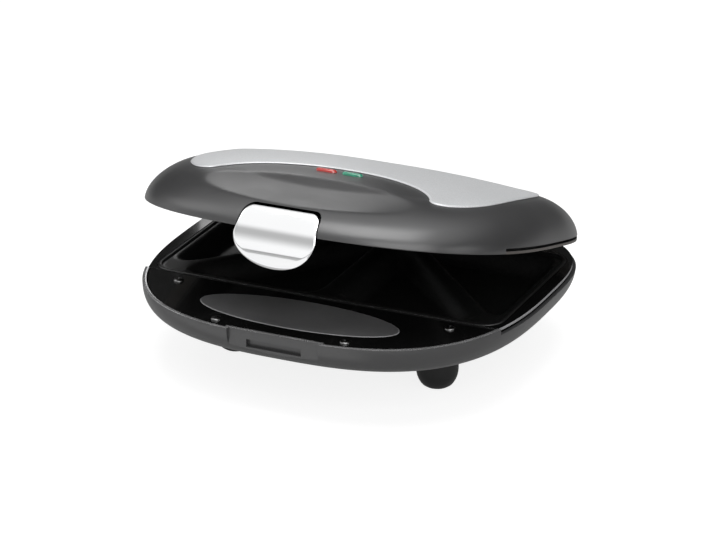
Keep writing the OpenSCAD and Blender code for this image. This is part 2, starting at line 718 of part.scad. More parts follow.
crown_steps = [0.8, 0.6, 0.4, 0.2, 0.03];
dome_outer = concat([for (u = [0:11.25:90]) dome_ring(u, 0)], [for (m = crown_steps) crown_ring(m, 0)]);
dome_inner = concat([for (m = [0.03, 0.4, 0.8]) crown_ring(m, wall)], [for (u = [90:-15:0]) dome_ring(u, wall)]);

lid_screw_places = [for (s = [-1, 1])
    each [[s * (half_w - lid_screw_in), step_y - screw_ahead], [s * rear_screw_x, back_y - screw_before_back]]];
frame_z = lid_z + frame_drop;               // underside of the lid frame
frame_top = frame_z + frame_t;
frame_step = 1.6;                           // height of its wide lower part
frame_upper_in = wall + 3.8;                // set-in of the part above, under the curve of the lid
lens_at = 49;                               // widest station to the lenses
lens_y = widest_y - lens_at;
lens_h = 4.2;
lens_stands = 0.5;                          // lens over the silver panel
lens_s = (1 - dome_side_in / half_w) * lens_at / (front_reach - dome_front_in);
lens_top = lid_z + dome_h + crown_h * (1 - lens_s * lens_s) + seat_gap + panel_t + lens_stands;
latch_gap = 0.6;                            // round the latch in the front of the lid
latch_rise = 1.25;                          // over its top, where its edge rises as it swings

module lens_outline(grow) {
    for (s = [-1, 1]) translate([s * (lens_w - lens_d) / 2, 0]) circle(lens_d / 2 + grow, $fn = 48);
    square([lens_w - lens_d, lens_d + 2 * grow], center = true);
}

holder_z = lid_z + 20;                      // underside of the lamp holder
holder_t = 1.9;
holder_x = 19;                              // its two bosses

module lid_shell() color(dark) on_lid() difference() {
    union() {
        lofted(concat(dome_inner, dome_outer));
        intersection() {
            for (p = lid_screw_places) post(p.x, p.y, frame_top + seat_gap, lid_z + dome_h + crown_h, boss_r);
            lofted(dome_outer);
        }
        for (s = [-1, 1]) post(s * holder_x, lens_y - 2, holder_z + holder_t + seat_gap, holder_z + 7, 3);
    }
    translate([0, front_y + 24, 0]) rotate([90, 0, 0]) linear_extrude(30)
        latch_plan(-latch_gap, latch_rise - latch_gap);
    box(-half_w - cut_over, half_w + cut_over, step_y, back_y + cut_over, lid_z - cut_over,
        lid_z + lip_t + slot_h);
    arm_rooms();
    for (s = [-1, 1]) translate([s * lens_x, lens_y, holder_z]) linear_extrude(20) lens_outline(0.15);
    for (p = lid_screw_places) post(p.x, p.y, frame_top - cut_over, frame_top + pilot_l, screw_r);
}

// Silver sheet over the crown, with an arch cut out of its front
module lid_panel() color([0.78, 0.79, 0.8]) on_lid() difference() {
    intersection() {
        lofted(concat([for (m = [0.03, 0.2, 0.4, 0.6, 0.8]) crown_ring(m, 0, seat_gap)],
            [for (u = [90:-11.25:45]) dome_ring(u, 0, seat_gap)],
            [for (u = [45:11.25:90]) dome_ring(u, 0, seat_gap + panel_t)],
            [for (m = crown_steps) crown_ring(m, 0, seat_gap + panel_t)]));
        translate([0, 0, lid_z]) linear_extrude(cut_tall) polygon([for (i = [0:outline_n - 1])
            let (t = 360 * i / outline_n, e = 2 / panel_square)
            [panel_w / 2 * signed_pow(cos(t), e),
                widest_y + (sin(t) < 0 ? panel_front : panel_rear) * signed_pow(sin(t), e)]]);
    }
    translate([0, 0, lid_z]) linear_extrude(cut_tall) polygon([for (t = [0:5:355])
        [arch_w / 2 * cos(t), widest_y - arch_at + arch_h * sin(t)]]);
}

ear_x = 19.5;           // inner face of the ears that hold the latch pin
latch_ear_t = 3;
latch_ear_r = 2.6;
latch_pin_y = front_y + 13.5;
latch_pin_z = lid_z + 7;
latch_room = 19;        // depth of the room for the latch in the frame

// One of the two ears, back to y1
module latch_ear(s, y1) {
    x = [s * ear_x, s * (ear_x + latch_ear_t)];
    box(min(x), max(x), latch_pin_y - latch_ear_r, y1, frame_z, latch_pin_z + latch_ear_r);
}

// Frame round the upper plate, with the ears of the latch
module lid_frame() color([0.36, 0.34, 0.33]) on_lid() difference() {
    union() {
        slab(frame_in, frame_z, frame_z + frame_step);
        slab(frame_upper_in, frame_z, frame_top);
        intersection() {
            slab(fit_gap, lid_z, lid_z + lip_t);
            box(-half_w, half_w, step_y, back_y, lid_z, lid_z + lip_t);
        }
        for (s = [-1, 1]) latch_ear(s, latch_pin_y + 8);
    }
    difference() {
        box(-latch_w / 2 - latch_gap, latch_w / 2 + latch_gap, front_y - cut_over, front_y + latch_room,
            lid_z - cut_over, frame_top + cut_over);
        for (s = [-1, 1]) latch_ear(s, front_y + latch_room + cut_over);
    }
    turned_over() {
        plate_slab(fit_gap, rim_z - under_land - seat_gap, rim_z + cut_over);
        plate_slab(-ledge_w, rim_z - frame_t - 4, rim_z + cut_over);
    }
    rod_x(-40, 40, latch_pin_y, latch_pin_z, latch_pin_r + 0.01);
    for (p = lid_screw_places) {
        post(p.x, p.y, lid_z - cut_over, frame_top + cut_over, screw_r + bore_gap);
        post(p.x, p.y, lid_z - cut_over, frame_z + low_head_h, head_r + bore_gap);
    }
}

module lid_screws() color(steel) on_lid() for (p = lid_screw_places)
    translate([p.x, p.y, frame_z + low_head_h - 0.05]) mirror([0, 0, 1]) screw(10, low_head_h - 0.1);
module upper_plate() color([0.1, 0.1, 0.1]) on_lid() turned_over() divided_plate();
module upper_element() color(steel) on_lid() turned_over() heater();
module upper_reflector() color(steel) on_lid() turned_over() reflector();
module upper_plate_screws() color(steel) on_lid() turned_over() plate_screws();

module thermal_fuse() color([0.85, 0.82, 0.74]) on_lid() turned_over()
    rod_x(-9, 9, widest_y, rim_z - sheet_drop - sheet_t - 2.1, 2, 32);

module lens(s) on_lid() translate([s * lens_x, lens_y, lens_top - lens_h]) linear_extrude(lens_h) lens_outline(0);

module red_lens() color([0.8, 0.1, 0.05]) lens(-1);
module green_lens() color([0, 0.55, 0.35]) lens(1);

lamp_r = 2;

module lamp_holder() color([0.9, 0.9, 0.88]) on_lid() difference() {
    union() {
        box(-holder_x - 3, holder_x + 3, lens_y - 5, lens_y + 4, holder_z, holder_z + holder_t);
        for (s = [-1, 1]) post(s * lens_x, lens_y, holder_z + holder_t, holder_z + 3.4, lamp_r + 1);
    }
    for (s = [-1, 1]) post(s * lens_x, lens_y, holder_z - cut_over, holder_z + 5, lamp_r + seat_gap);
}

module lamps() color([1, 0.6, 0.3]) on_lid() for (s = [-1, 1]) {
    post(s * lens_x, lens_y, holder_z - 1, holder_z + 3.8, lamp_r);
    translate([s * lens_x, lens_y, holder_z + 3.8]) sphere(lamp_r - 0.02, $fn = 32);
}

// ---- latch ----

latch_out = 2.2;                    // its face in front of the casing
latch_axis_y = front_y - latch_out + latch_curve;      // axis of the curved face
latch_axis_z = rim_z - 9;
latch_mid = 2;                      // widest line of the latch under the rim

latch_round = 6;                    // radius of its top corners

// Front view of the latch: round below, nearly straight sides, rounded top corners
module latch_plan(inset, lift = 0) {
    w = latch_w / 2 - inset;
    x = w - latch_taper - latch_round;
    top = rim_z + latch_up - inset + lift - latch_round;
    polygon(concat(
        [for (a = [180:7.5:360]) [w * cos(a), rim_z - latch_mid + (latch_down - latch_mid - inset) * sin(a)]],
        [for (a = [0:15:90]) [x + latch_round * cos(a), top + latch_round * sin(a)]],
        [for (a = [90:15:180]) [-x + latch_round * cos(a), top + latch_round * sin(a)]]));
}

module latch_layer(r_out, r_in, inset) intersection() {
    difference() {
        rod_x(-latch_w, latch_w, latch_axis_y, latch_axis_z, r_out, 96);
        rod_x(-latch_w - 1, latch_w + 1, latch_axis_y, latch_axis_z, r_in, 96);
    }
    translate([0, latch_axis_y - 2, 0]) rotate([90, 0, 0]) linear_extrude(40) latch_plan(inset);
}

module latch_cover() color([0.85, 0.86, 0.88]) on_lid() latch_layer(latch_curve, latch_curve - latch_skin, 0);

hook_play = 2;          // hook narrower than its slot, on each side
hook_tip_y = notch_y - 0.7;     // at rest its tip clears the recess; it enters as the latch swings in
core_r = latch_curve - latch_skin - 0.02;
gap_half = 6.5;         // half of the middle gap that holds the spring
latch_hub_r = 3.4;

// Only what lies behind the chrome face
module behind_face() intersection() {
    children();
    rod_x(-latch_w, latch_w, latch_axis_y, latch_axis_z, core_r - 0.2, 96);
}

module latch_hook() color(black) on_lid() difference() {
    union() {
        latch_layer(core_r, core_r - latch_core, 1.2);
        for (s = [-1, 1]) {
            x0 = s > 0 ? gap_half : -ear_x + fit_gap;
            x1 = s > 0 ? ear_x - fit_gap : -gap_half;
            rod_x(x0, x1, latch_pin_y, latch_pin_z, latch_hub_r);
            behind_face() box(x0, x1, front_y - 4, latch_pin_y, latch_pin_z - 3, latch_pin_z + 2);
        }
        // hook that enters the slot in the base
        behind_face() box(-hook_slot_w / 2 + hook_play, hook_slot_w / 2 - hook_play, front_y - 4,
            hook_tip_y, rim_z - hook_slot_top - 2.5, rim_z - hook_slot_top - 0.1);
    }
    rod_x(-latch_w, latch_w, latch_pin_y, latch_pin_z, latch_pin_r + pin_play);
}

module latch_pin() color(steel) on_lid()
    rod_x(-ear_x - latch_ear_t - 0.6, ear_x + latch_ear_t + 0.6, latch_pin_y, latch_pin_z, latch_pin_r);

spring_wire = 0.8;
spring_turns = 5;       // turns on each side of the middle one

// Torsion spring round the latch pin: touching turns and two legs
module latch_spring() color(steel) on_lid() {
    r = latch_pin_r + fit_gap + spring_wire / 2;
    pitch = spring_wire * 0.94;
    for (i = [-spring_turns:spring_turns])
        translate([i * pitch, latch_pin_y, latch_pin_z]) rotate([0, 90, 0])
            rotate_extrude($fn = 32) translate([r, 0]) circle(spring_wire / 2, $fn = 16);
    for (s = [-1, 1])
        translate([s * spring_turns * pitch, latch_pin_y, latch_pin_z + r]) rotate([-90, 0, 0])
            cylinder(h = 7, r = spring_wire / 2, $fn = 16);
}

base_casing();
front_panel();
grip_inlay();
plate_surround();
lower_plate();
lower_element();
lower_reflector();
lower_plate_screws();
thermostat();
terminal_block();
cord_gland();
front_feet();
rear_feet();
foot_pads();
foot_screws();
panel_screws();
surround_screws();
hinge_brackets();
hinge_pins();
lid_shell();
lid_panel();
lid_frame();
lid_screws();
upper_plate();
upper_element();
upper_reflector();
upper_plate_screws();
thermal_fuse();
red_lens();
green_lens();
lamp_holder();
lamps();
hinge_arms();
latch_pin();
latch_spring();
latch_cover();
latch_hook();
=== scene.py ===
import json
import math

import bpy
import numpy as np
from mathutils import Matrix, Vector


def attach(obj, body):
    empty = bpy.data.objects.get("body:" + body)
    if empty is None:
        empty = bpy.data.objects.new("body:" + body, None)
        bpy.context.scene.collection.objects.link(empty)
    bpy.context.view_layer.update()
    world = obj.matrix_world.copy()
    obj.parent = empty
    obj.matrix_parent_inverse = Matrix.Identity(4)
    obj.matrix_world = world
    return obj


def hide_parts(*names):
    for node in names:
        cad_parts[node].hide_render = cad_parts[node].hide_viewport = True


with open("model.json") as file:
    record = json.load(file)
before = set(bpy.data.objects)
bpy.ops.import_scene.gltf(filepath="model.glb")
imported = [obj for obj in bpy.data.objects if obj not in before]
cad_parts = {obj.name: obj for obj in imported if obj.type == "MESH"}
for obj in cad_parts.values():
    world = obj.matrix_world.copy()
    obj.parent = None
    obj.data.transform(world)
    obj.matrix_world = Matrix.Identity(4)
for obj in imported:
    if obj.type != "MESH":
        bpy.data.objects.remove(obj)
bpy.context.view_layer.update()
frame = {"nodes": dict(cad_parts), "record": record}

MM = 0.001

# ---------------------------------------------------------------- camera

AZIMUTH = math.radians(24.774)
TILT = math.radians(22.533)
DISTANCE = 1.9022
AIM = Vector((0, -0.0452, 0.052))
PICTURE_W = 716          # pixels, like the focal length and the shift
FOCAL_PIXELS = 3290.9
SHIFT_X, SHIFT_Y = 34.257, 23.169
SENSOR = 36

back = Vector((math.sin(AZIMUTH) * math.cos(TILT), -math.cos(AZIMUTH) * math.cos(TILT), math.sin(TILT)))
right = Vector((math.cos(AZIMUTH), math.sin(AZIMUTH), 0))
lens_data = bpy.data.cameras.new("camera")
camera = bpy.data.objects.new("camera", lens_data)
bpy.context.collection.objects.link(camera)
stand = Matrix((right, back.cross(right), back)).transposed().to_4x4()
stand.translation = AIM + back * DISTANCE
camera.matrix_world = stand
lens_data.sensor_width = SENSOR
lens_data.lens = FOCAL_PIXELS / PICTURE_W * SENSOR
lens_data.shift_x = SHIFT_X / PICTURE_W
lens_data.shift_y = SHIFT_Y / PICTURE_W
lens_data.clip_end = 12
bpy.context.scene.camera = camera

# ---------------------------------------------------------------- sizes, in millimetres

HALF_W, FRONT, REAR = 120, 130, 90
FRONT_SQUARE, REAR_SQUARE = 2.75, 3.3
WIDEST_Y = 14
FRONT_Y, BACK_Y = WIDEST_Y - FRONT, WIDEST_Y + REAR
WALL = 2.4
RIM_Z = 52
LID_Z = 52.6
HINGE_Y, HINGE_Z = 110, 57.5
OPENING = math.radians(15.4)

BOWL_H, BOWL_SQUARE = 21.9, 2.5
BOWL_SIDE_IN, BOWL_FRONT_IN, BOWL_REAR_IN = 26, 35.5, 37
FLOOR_Z, FLOOR_IN, FLOOR_REAR_IN = 16, 33, 16

DOME_H, CROWN_H, DOME_SQUARE = 20.7, 10.5, 1.95
DOME_SIDE_IN, DOME_FRONT_IN, DOME_REAR_IN = 22.3, 52.8, 41
SCOOP_W, SCOOP_D, SCOOP_AT, SCOOP_DEEP = 128, 50, 92, 4

PLATE_W, PLATE_D, PLATE_R, PLATE_FRONT = 220, 120, 12, 64.4
PLATE_Y0 = WIDEST_Y - PLATE_FRONT
PLATE_MID_Y = PLATE_Y0 + PLATE_D / 2
LAND_DROP, PLATE_T, POCKET_H, POCKET_IN = 1.2, 2.4, 11.5, 10
STEP_Y = PLATE_Y0 - 1

NOTCH_HALF, NOTCH_Y, NOTCH_STEP = 28, FRONT_Y + 3.2, 0.2
LATCH_W, LATCH_UP, LATCH_DOWN, LATCH_TAPER, LATCH_MID, LATCH_ROUND = 50, 12.9, 20.5, 1.5, 2, 6
LATCH_CURVE, LATCH_SKIN = 29, 1
LATCH_AXIS_Y, LATCH_AXIS_Z = FRONT_Y - 2.2 + LATCH_CURVE, RIM_Z - 9

FINE = 264      # points round a casing
GAP = 0.3       # between pieces that lie beside each other
HINGE_X, KNUCKLE_W, EAR_W = 56, 12, 5
BRACKET_W, BRACKET_D, BRACKET_DROP = KNUCKLE_W + 2 * (EAR_W + GAP), 13.3, 13.3
FOOT_X, FOOT_FRONT, FOOT_REAR, FOOT_R = 65, 43, 44, 12.4
SCREW_PLACES = ((85.8, 75.4), (40.2, 117.9))    # of the front panel: out from the middle, before the widest line
REAR_SCREW_X, REAR_SCREW_IN = 30, 15
HEAD_ROOM_R, BORE_R = 3.3, 1.7


def oval_point(t, w, f, r):
    """Point of the casing outline at angle t, for a half width and a front and rear reach"""
    c, s = math.cos(t), math.sin(t)
    e = 2 / (FRONT_SQUARE if s < 0 else REAR_SQUARE)
    return (math.copysign(abs(c) ** e * w, c), WIDEST_Y + math.copysign(abs(s) ** e * (f if s < 0 else r), s))


def even_angles(n):
    """Angles that put n points at even steps along the outline"""
    steps = 20000
    fine = [2 * math.pi * i / steps for i in range(steps + 1)]
    pts = np.array([oval_point(t, HALF_W, FRONT, REAR) for t in fine])
    run = np.concatenate([[0], np.cumsum(np.linalg.norm(np.diff(pts, axis=0), axis=1))])
    return [float(np.interp(run[-1] * i / n, run, fine)) for i in range(n)]


ANGLES = even_angles(FINE)


def outline(inset, y_min=None, y_max=None):
    """The casing outline set in from its edge, as a closed run of points, clipped between two lines across"""
    pts = [oval_point(t, HALF_W - inset, FRONT - inset, REAR - inset) for t in ANGLES]
    return clip(pts, y_min, y_max)


def clip(pts, y_min=None, y_max=None):
    """The part of a closed run of points between two lines across"""
    for limit, sign in ((y_min, 1), (y_max, -1)):
        if limit is None:
            continue
        kept = []
        for a, b in zip(pts, pts[1:] + pts[:1]):
            inside_a, inside_b = sign * (a[1] - limit) >= 0, sign * (b[1] - limit) >= 0
            if inside_a:
                kept.append(a)
            if inside_a != inside_b:
                k = (limit - a[1]) / (b[1] - a[1])
                kept.append((a[0] + k * (b[0] - a[0]), limit))
        pts = kept
    return pts


def plate_outline(grow, steps=14):
    """The outline of a sandwich plate, made larger by grow all round, with that many steps to a round corner"""
    w, d, r = PLATE_W / 2 - PLATE_R, PLATE_D / 2 - PLATE_R, PLATE_R + grow
    pts = []
    for sx, sy, start in ((1, 1, 0), (-1, 1, 90), (-1, -1, 180), (1, -1, 270)):
        for i in range(steps + 1):
            a = math.radians(start + 90 * i / steps)
            pts.append((sx * w + r * math.cos(a), PLATE_MID_Y + sy * d + r * math.sin(a)))
    return pts


def ellipse(w, d, mid_y):
    return [(w / 2 * math.cos(math.radians(a)), mid_y + d / 2 * math.sin(math.radians(a)))
            for a in np.arange(0, 360, 2.5).tolist()]


def circle(x, y, r, n):
    return [(x + r * math.cos(2 * math.pi * i / n), y + r * math.sin(2 * math.pi * i / n)) for i in range(n)]


def resample(pts, step):
    """The same closed run with points at about that step"""
    p = np.array(pts + pts[:1], float)
    run = np.concatenate([[0], np.cumsum(np.linalg.norm(np.diff(p, axis=0), axis=1))])
    n = max(8, int(run[-1] / step))
    at = [run[-1] * i / n for i in range(n)]
    return list(zip(np.interp(at, run, p[:, 0]).tolist(), np.interp(at, run, p[:, 1]).tolist()))


def edge_distance(xy, pts):
    """Distance of each point to the closed run"""
    a = np.array(pts, float)
    b = np.roll(a, -1, axis=0)
    ab = b - a
    best = np.full(len(xy), np.inf)
    batch = 2000
    for i in range(0, len(xy), batch):
        p = xy[i:i + batch, None, :]
        k = np.clip(((p - a) * ab).sum(2) / np.maximum((ab * ab).sum(1), 1e-12), 0, 1)
        near = a + k[..., None] * ab
        best[i:i + batch] = np.sqrt(((p - near) ** 2).sum(2)).min(1)
    return best


# ---------------------------------------------------------------- modelling helpers

def deselect():
    bpy.ops.object.select_all(action="DESELECT")


def pick(*objs):
    deselect()
    for o in objs:
        o.select_set(True)
    bpy.context.view_layer.objects.active = objs[0]


def edit_all(obj, mode="FACE"):
    """Opens a piece for editing, with everything on it selected"""
    pick(obj)
    bpy.ops.object.mode_set(mode="EDIT")
    bpy.ops.mesh.select_mode(type=mode)
    bpy.ops.mesh.select_all(action="SELECT")


def leave():
    bpy.ops.object.mode_set(mode="OBJECT")


def coords(obj):
    n = len(obj.data.vertices)
    v = np.empty(n * 3)
    obj.data.vertices.foreach_get("co", v)
    return v.reshape(n, 3)


def set_coords(obj, v):
    obj.data.vertices.foreach_set("co", np.asarray(v, float).ravel())
    obj.data.update()


def outwards(obj):
    edit_all(obj)
    bpy.ops.mesh.normals_make_consistent(inside=False)
    leave()


def turn_inside_out(obj):
    edit_all(obj)
    bpy.ops.mesh.flip_normals()
    leave()


def start_ring(name, n, fill="NOTHING"):
    deselect()
    bpy.ops.mesh.primitive_circle_add(vertices=n, radius=1, fill_type=fill, location=(0, 0, 0))
    obj = bpy.context.object
    obj.name = obj.data.name = name
    return obj


def ring_places(v, n):
    """Place of each vertex round its ring of n, counted from any one of them"""
    turn = np.arctan2(v[:, 1], v[:, 0]) / (2 * math.pi) * n
    return np.rint(turn - turn[0]).astype(int) % n


def stack(name, rings):
    """An open skin: a ring of points drawn up through the levels, where rings[j] lists the points of level j"""
    n = len(rings[0])
    obj = start_ring(name, n)
    edit_all(obj, "VERT")
    for _ in rings[1:]:
        bpy.ops.mesh.extrude_region_move(TRANSFORM_OT_translate={"value": (0, 0, 1)})
    leave()
    v = coords(obj)
    level = np.rint(v[:, 2]).astype(int)
    table = np.array(rings, float)
    set_coords(obj, table[level, ring_places(v, n)])
    return obj


def closed_stack(name, rings):
    """A stack whose open end rings each become a face"""
    obj = stack(name, rings)
    edit_all(obj, "EDGE")
    bpy.ops.mesh.select_all(action="DESELECT")
    bpy.ops.mesh.select_non_manifold(extend=False, use_wire=False, use_boundary=True, use_multi_face=False,
                                     use_non_contiguous=False, use_verts=False)
    bpy.ops.mesh.fill_holes(sides=0)
    leave()
    outwards(obj)
    return obj


def prism(name, pts, z0, z1):
    """Upright solid on a closed run of points"""
    obj = start_ring(name, len(pts), "NGON")
    v = coords(obj)
    v[:, :2] = np.array(pts, float)[ring_places(v, len(pts))]
    v[:, 2] = z0
    set_coords(obj, v)
    edit_all(obj)
    bpy.ops.mesh.extrude_region_move(TRANSFORM_OT_translate={"value": (0, 0, z1 - z0)})
    leave()
    outwards(obj)
    return obj


def brick(name, x0, x1, y0, y1, z0, z1):
    return prism(name, [(x0, y0), (x1, y0), (x1, y1), (x0, y1)], z0, z1)


def post(name, x, y, z0, z1, r, n=40):
    return prism(name, circle(x, y, r, n), z0, z1)


def turned_rings(x, y, profile, n):
    """Rings of a form turned round an upright axis, from its profile of (radius, height) points"""
    return [[(px, py, z) for px, py in circle(x, y, r, n)] for r, z in profile]


def join(*objs):
    pick(*objs)
    bpy.ops.object.join()
    return bpy.context.object


def copy_of(obj, name):
    twin = obj.copy()
    twin.data = obj.data.copy()
    twin.name = twin.data.name = name
    bpy.context.collection.objects.link(twin)
    return twin


def combine(obj, how, *tools):
    """Adds (UNION) or takes away (DIFFERENCE) the tools, one after the other"""
    for tool in tools:
        pick(obj)
        m = obj.modifiers.new("combine", "BOOLEAN")
        m.operation = how
        m.solver = "EXACT"
        m.object = tool
        bpy.ops.object.modifier_apply(modifier=m.name)
        bpy.data.objects.remove(tool)


def soften(obj, width, segments):
    """Rounds the sharp edges"""
    pick(obj)
    m = obj.modifiers.new("edges", "BEVEL")
    m.width = width
    m.segments = segments
    m.limit_method = "ANGLE"
    m.angle_limit = math.radians(50)
    m.use_clamp_overlap = True
    m.harden_normals = False
    bpy.ops.object.modifier_apply(modifier=m.name)


def thicken(obj, thickness):
    """Gives a sheet its thickness, on its inner side"""
    pick(obj)
    m = obj.modifiers.new("sheet", "SOLIDIFY")
    m.thickness = thickness
    m.offset = -1
    m.use_even_offset = False
    bpy.ops.object.modifier_apply(modifier=m.name)


def sheet(name, pts, insets, step, place):
    """A flat face on a closed run of points, edged by inset rings and cut by a grid about step wide.
    Then place gives each point its position, from its plan and its distance to the edge"""
    obj = start_ring(name, len(pts), "NGON")
    v = coords(obj)
    run = np.array(pts, float)
    v[:, :2] = run[ring_places(v, len(pts))]
    set_coords(obj, v)
    edit_all(obj)
    for d in insets:
        bpy.ops.mesh.inset(thickness=d, depth=0, use_even_offset=True, use_boundary=True)
    bpy.ops.mesh.hide(unselected=True)
    low, high = run.min(0), run.max(0)
    for axis in (0, 1):
        n = int((high[axis] - low[axis]) / step)
        for i in range(1, n):
            at = low[axis] + (high[axis] - low[axis]) * i / n
            bpy.ops.mesh.select_all(action="SELECT")
            where, across = ((at, 0, 0), (1, 0, 0)) if axis == 0 else ((0, at, 0), (0, 1, 0))
            bpy.ops.mesh.bisect(plane_co=where, plane_no=across)
    bpy.ops.mesh.reveal()
    leave()
    v = coords(obj)
    set_coords(obj, place(v[:, :2], edge_distance(v[:, :2], pts)))
    return obj


def edge_lift(d, table):
    """Height at distance d from an edge, from a table of (distance, height)"""
    return np.interp(d, [p[0] for p in table], [p[1] for p in table])


LID_TURN = (Matrix.Translation((0, HINGE_Y, HINGE_Z)) @ Matrix.Rotation(-OPENING, 4, "X")
            @ Matrix.Translation((0, -HINGE_Y, -HINGE_Z)))


def finish(obj, name, body, nodes, material, smooth=35, accents=(), even=False):
    """Turns a piece of the lid or the latch to the lid's opening, brings it to metres, shades it and hands
    it to its body. Edges below smooth degrees are shaded round.
    Each accent is a second finish and a test on the middle and normal of a face.
    Where even is set, large flats keep an even shade next to their rounded edges"""
    obj.name = obj.data.name = name
    marks = [next((i + 1 for i, (_, test) in enumerate(accents) if test(p.center, p.normal)), 0)
             for p in obj.data.polygons]
    if body != "base":
        obj.data.transform(LID_TURN)
    obj.data.transform(Matrix.Scale(MM, 4))
    pick(obj)
    bpy.ops.object.shade_smooth_by_angle(angle=math.radians(smooth))
    if even:
        m = obj.modifiers.new("even_flats", "WEIGHTED_NORMAL")
        m.keep_sharp = True
        bpy.ops.object.modifier_apply(modifier=m.name)
    obj.data.materials.clear()
    for used in (material, *(second for second, _ in accents)):
        obj.data.materials.append(used)
    for p, mark in zip(obj.data.polygons, marks):
        p.material_index = mark
    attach(obj, body)
    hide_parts(*nodes)


# ---------------------------------------------------------------- finishes

class Finish:
    """A material whose nodes are added step by step. Each step spreads one quality by a noise of its own scale"""

    NOISE_LOW, NOISE_HIGH = 0.3, 0.7

    def __init__(self, name, color, roughness, metallic=0.0, **sockets):
        self.material = bpy.data.materials.new(name)
        self.material.use_nodes = True
        self.tree = self.material.node_tree
        self.shader = self.tree.nodes["Principled BSDF"]
        self.shader.inputs["Base Color"].default_value = (*color, 1)
        self.shader.inputs["Roughness"].default_value = roughness
        self.shader.inputs["Metallic"].default_value = metallic
        for key, value in sockets.items():
            self.shader.inputs[key.replace("_", " ")].default_value = value
        self.color, self.roughness = color, roughness
        self.place = self.add("ShaderNodeTexCoord").outputs["Object"]

    def add(self, kind):
        return self.tree.nodes.new(kind)

    def link(self, a, b):
        self.tree.links.new(a, b)

    def noise(self, scale, detail, stretch=None):
        n = self.add("ShaderNodeTexNoise")
        n.inputs["Scale"].default_value = scale
        n.inputs["Detail"].default_value = detail
        source = self.place
        if stretch:
            m = self.add("ShaderNodeMapping")
            m.inputs["Scale"].default_value = stretch
            self.link(source, m.inputs["Vector"])
            source = m.outputs["Vector"]
        self.link(source, n.inputs["Vector"])
        return n.outputs["Fac"]

    def between(self, value, low, high):
        m = self.add("ShaderNodeMapRange")
        m.inputs["From Min"].default_value = self.NOISE_LOW
        m.inputs["From Max"].default_value = self.NOISE_HIGH
        m.inputs["To Min"].default_value = low
        m.inputs["To Max"].default_value = high
        self.link(value, m.inputs["Value"])
        return m.outputs["Result"]

    def rough_spread(self, scale, spread, stretch=None):
        v = self.between(self.noise(scale, 3, stretch), self.roughness - spread, self.roughness + spread)
        self.link(v, self.shader.inputs["Roughness"])
        return self

    def tone_spread(self, scale, spread, detail=3):
        ramp = self.add("ShaderNodeValToRGB")
        low, high = ramp.color_ramp.elements
        low.position, high.position = self.NOISE_LOW, self.NOISE_HIGH
        low.color = (*[c * (1 - spread) for c in self.color], 1)
        high.color = (*[min(1, c * (1 + spread)) for c in self.color], 1)
        self.link(self.noise(scale, detail), ramp.inputs["Fac"])
        self.link(ramp.outputs["Color"], self.shader.inputs["Base Color"])
        return self

    def grain(self, scale, depth, stretch=None):
        bump = self.add("ShaderNodeBump")
        bump.inputs["Strength"].default_value = 1
        bump.inputs["Distance"].default_value = depth
        self.link(self.noise(scale, 2, stretch), bump.inputs["Height"])
        self.link(bump.outputs["Normal"], self.shader.inputs["Normal"])
        return self


dark_shell = Finish("satin_dark_shell", (0.048, 0.048, 0.049), 0.32, Specular_IOR_Level=0.85) \
    .rough_spread(35, 0.03).tone_spread(9, 0.08).grain(2600, 0.00002).material
gloss_black = Finish("gloss_black_plastic", (0.006, 0.006, 0.006), 0.13, Coat_Weight=0.4, Coat_Roughness=0.05) \
    .rough_spread(60, 0.03).tone_spread(20, 0.2).grain(240, 0.00001).material
inlay_grey = Finish("matt_grey_inlay", (0.13, 0.13, 0.132), 0.5) \
    .rough_spread(80, 0.05).tone_spread(30, 0.1).grain(3000, 0.00003).material
nonstick = Finish("nonstick_coating", (0.011, 0.011, 0.011), 0.34) \
    .rough_spread(50, 0.06).tone_spread(700, 0.35, 1).grain(1800, 0.00002).material
element_steel = Finish("heater_steel", (0.33, 0.29, 0.26), 0.36, 1.0) \
    .rough_spread(90, 0.08).tone_spread(40, 0.2).grain(900, 0.00002).material
sheet_metal = Finish("mill_aluminium", (0.72, 0.72, 0.73), 0.32, 1.0) \
    .rough_spread(60, 0.08, (1, 12, 1)).tone_spread(25, 0.06).grain(300, 0.00002, (1, 14, 1)).material
screw_steel = Finish("zinc_plated_steel", (0.60, 0.60, 0.61), 0.28, 1.0) \
    .rough_spread(200, 0.07).tone_spread(120, 0.1).grain(900, 0.00001).material
screw_black = Finish("blackened_steel", (0.22, 0.22, 0.22), 0.26, 1.0) \
    .rough_spread(200, 0.06).tone_spread(150, 0.2).grain(900, 0.00001).material
# Light, mostly metal finish laid on thin edges as a painted highlight: the bright line along the rim tops of the base
# and along the surround's front bevel
painted_edge_highlight = Finish("painted_highlight_on_edges", (0.66, 0.66, 0.67), 0.26, 0.75) \
    .rough_spread(120, 0.06).tone_spread(60, 0.1).grain(900, 0.00001).material
# Pale finish laid on bevels and lips as a painted highlight: a light line round the inlay and along the surround's
# outer lip
painted_pale_highlight = Finish("painted_pale_highlight", (0.42, 0.42, 0.43), 0.4) \
    .rough_spread(120, 0.05).tone_spread(60, 0.1).grain(1400, 0.00002).material
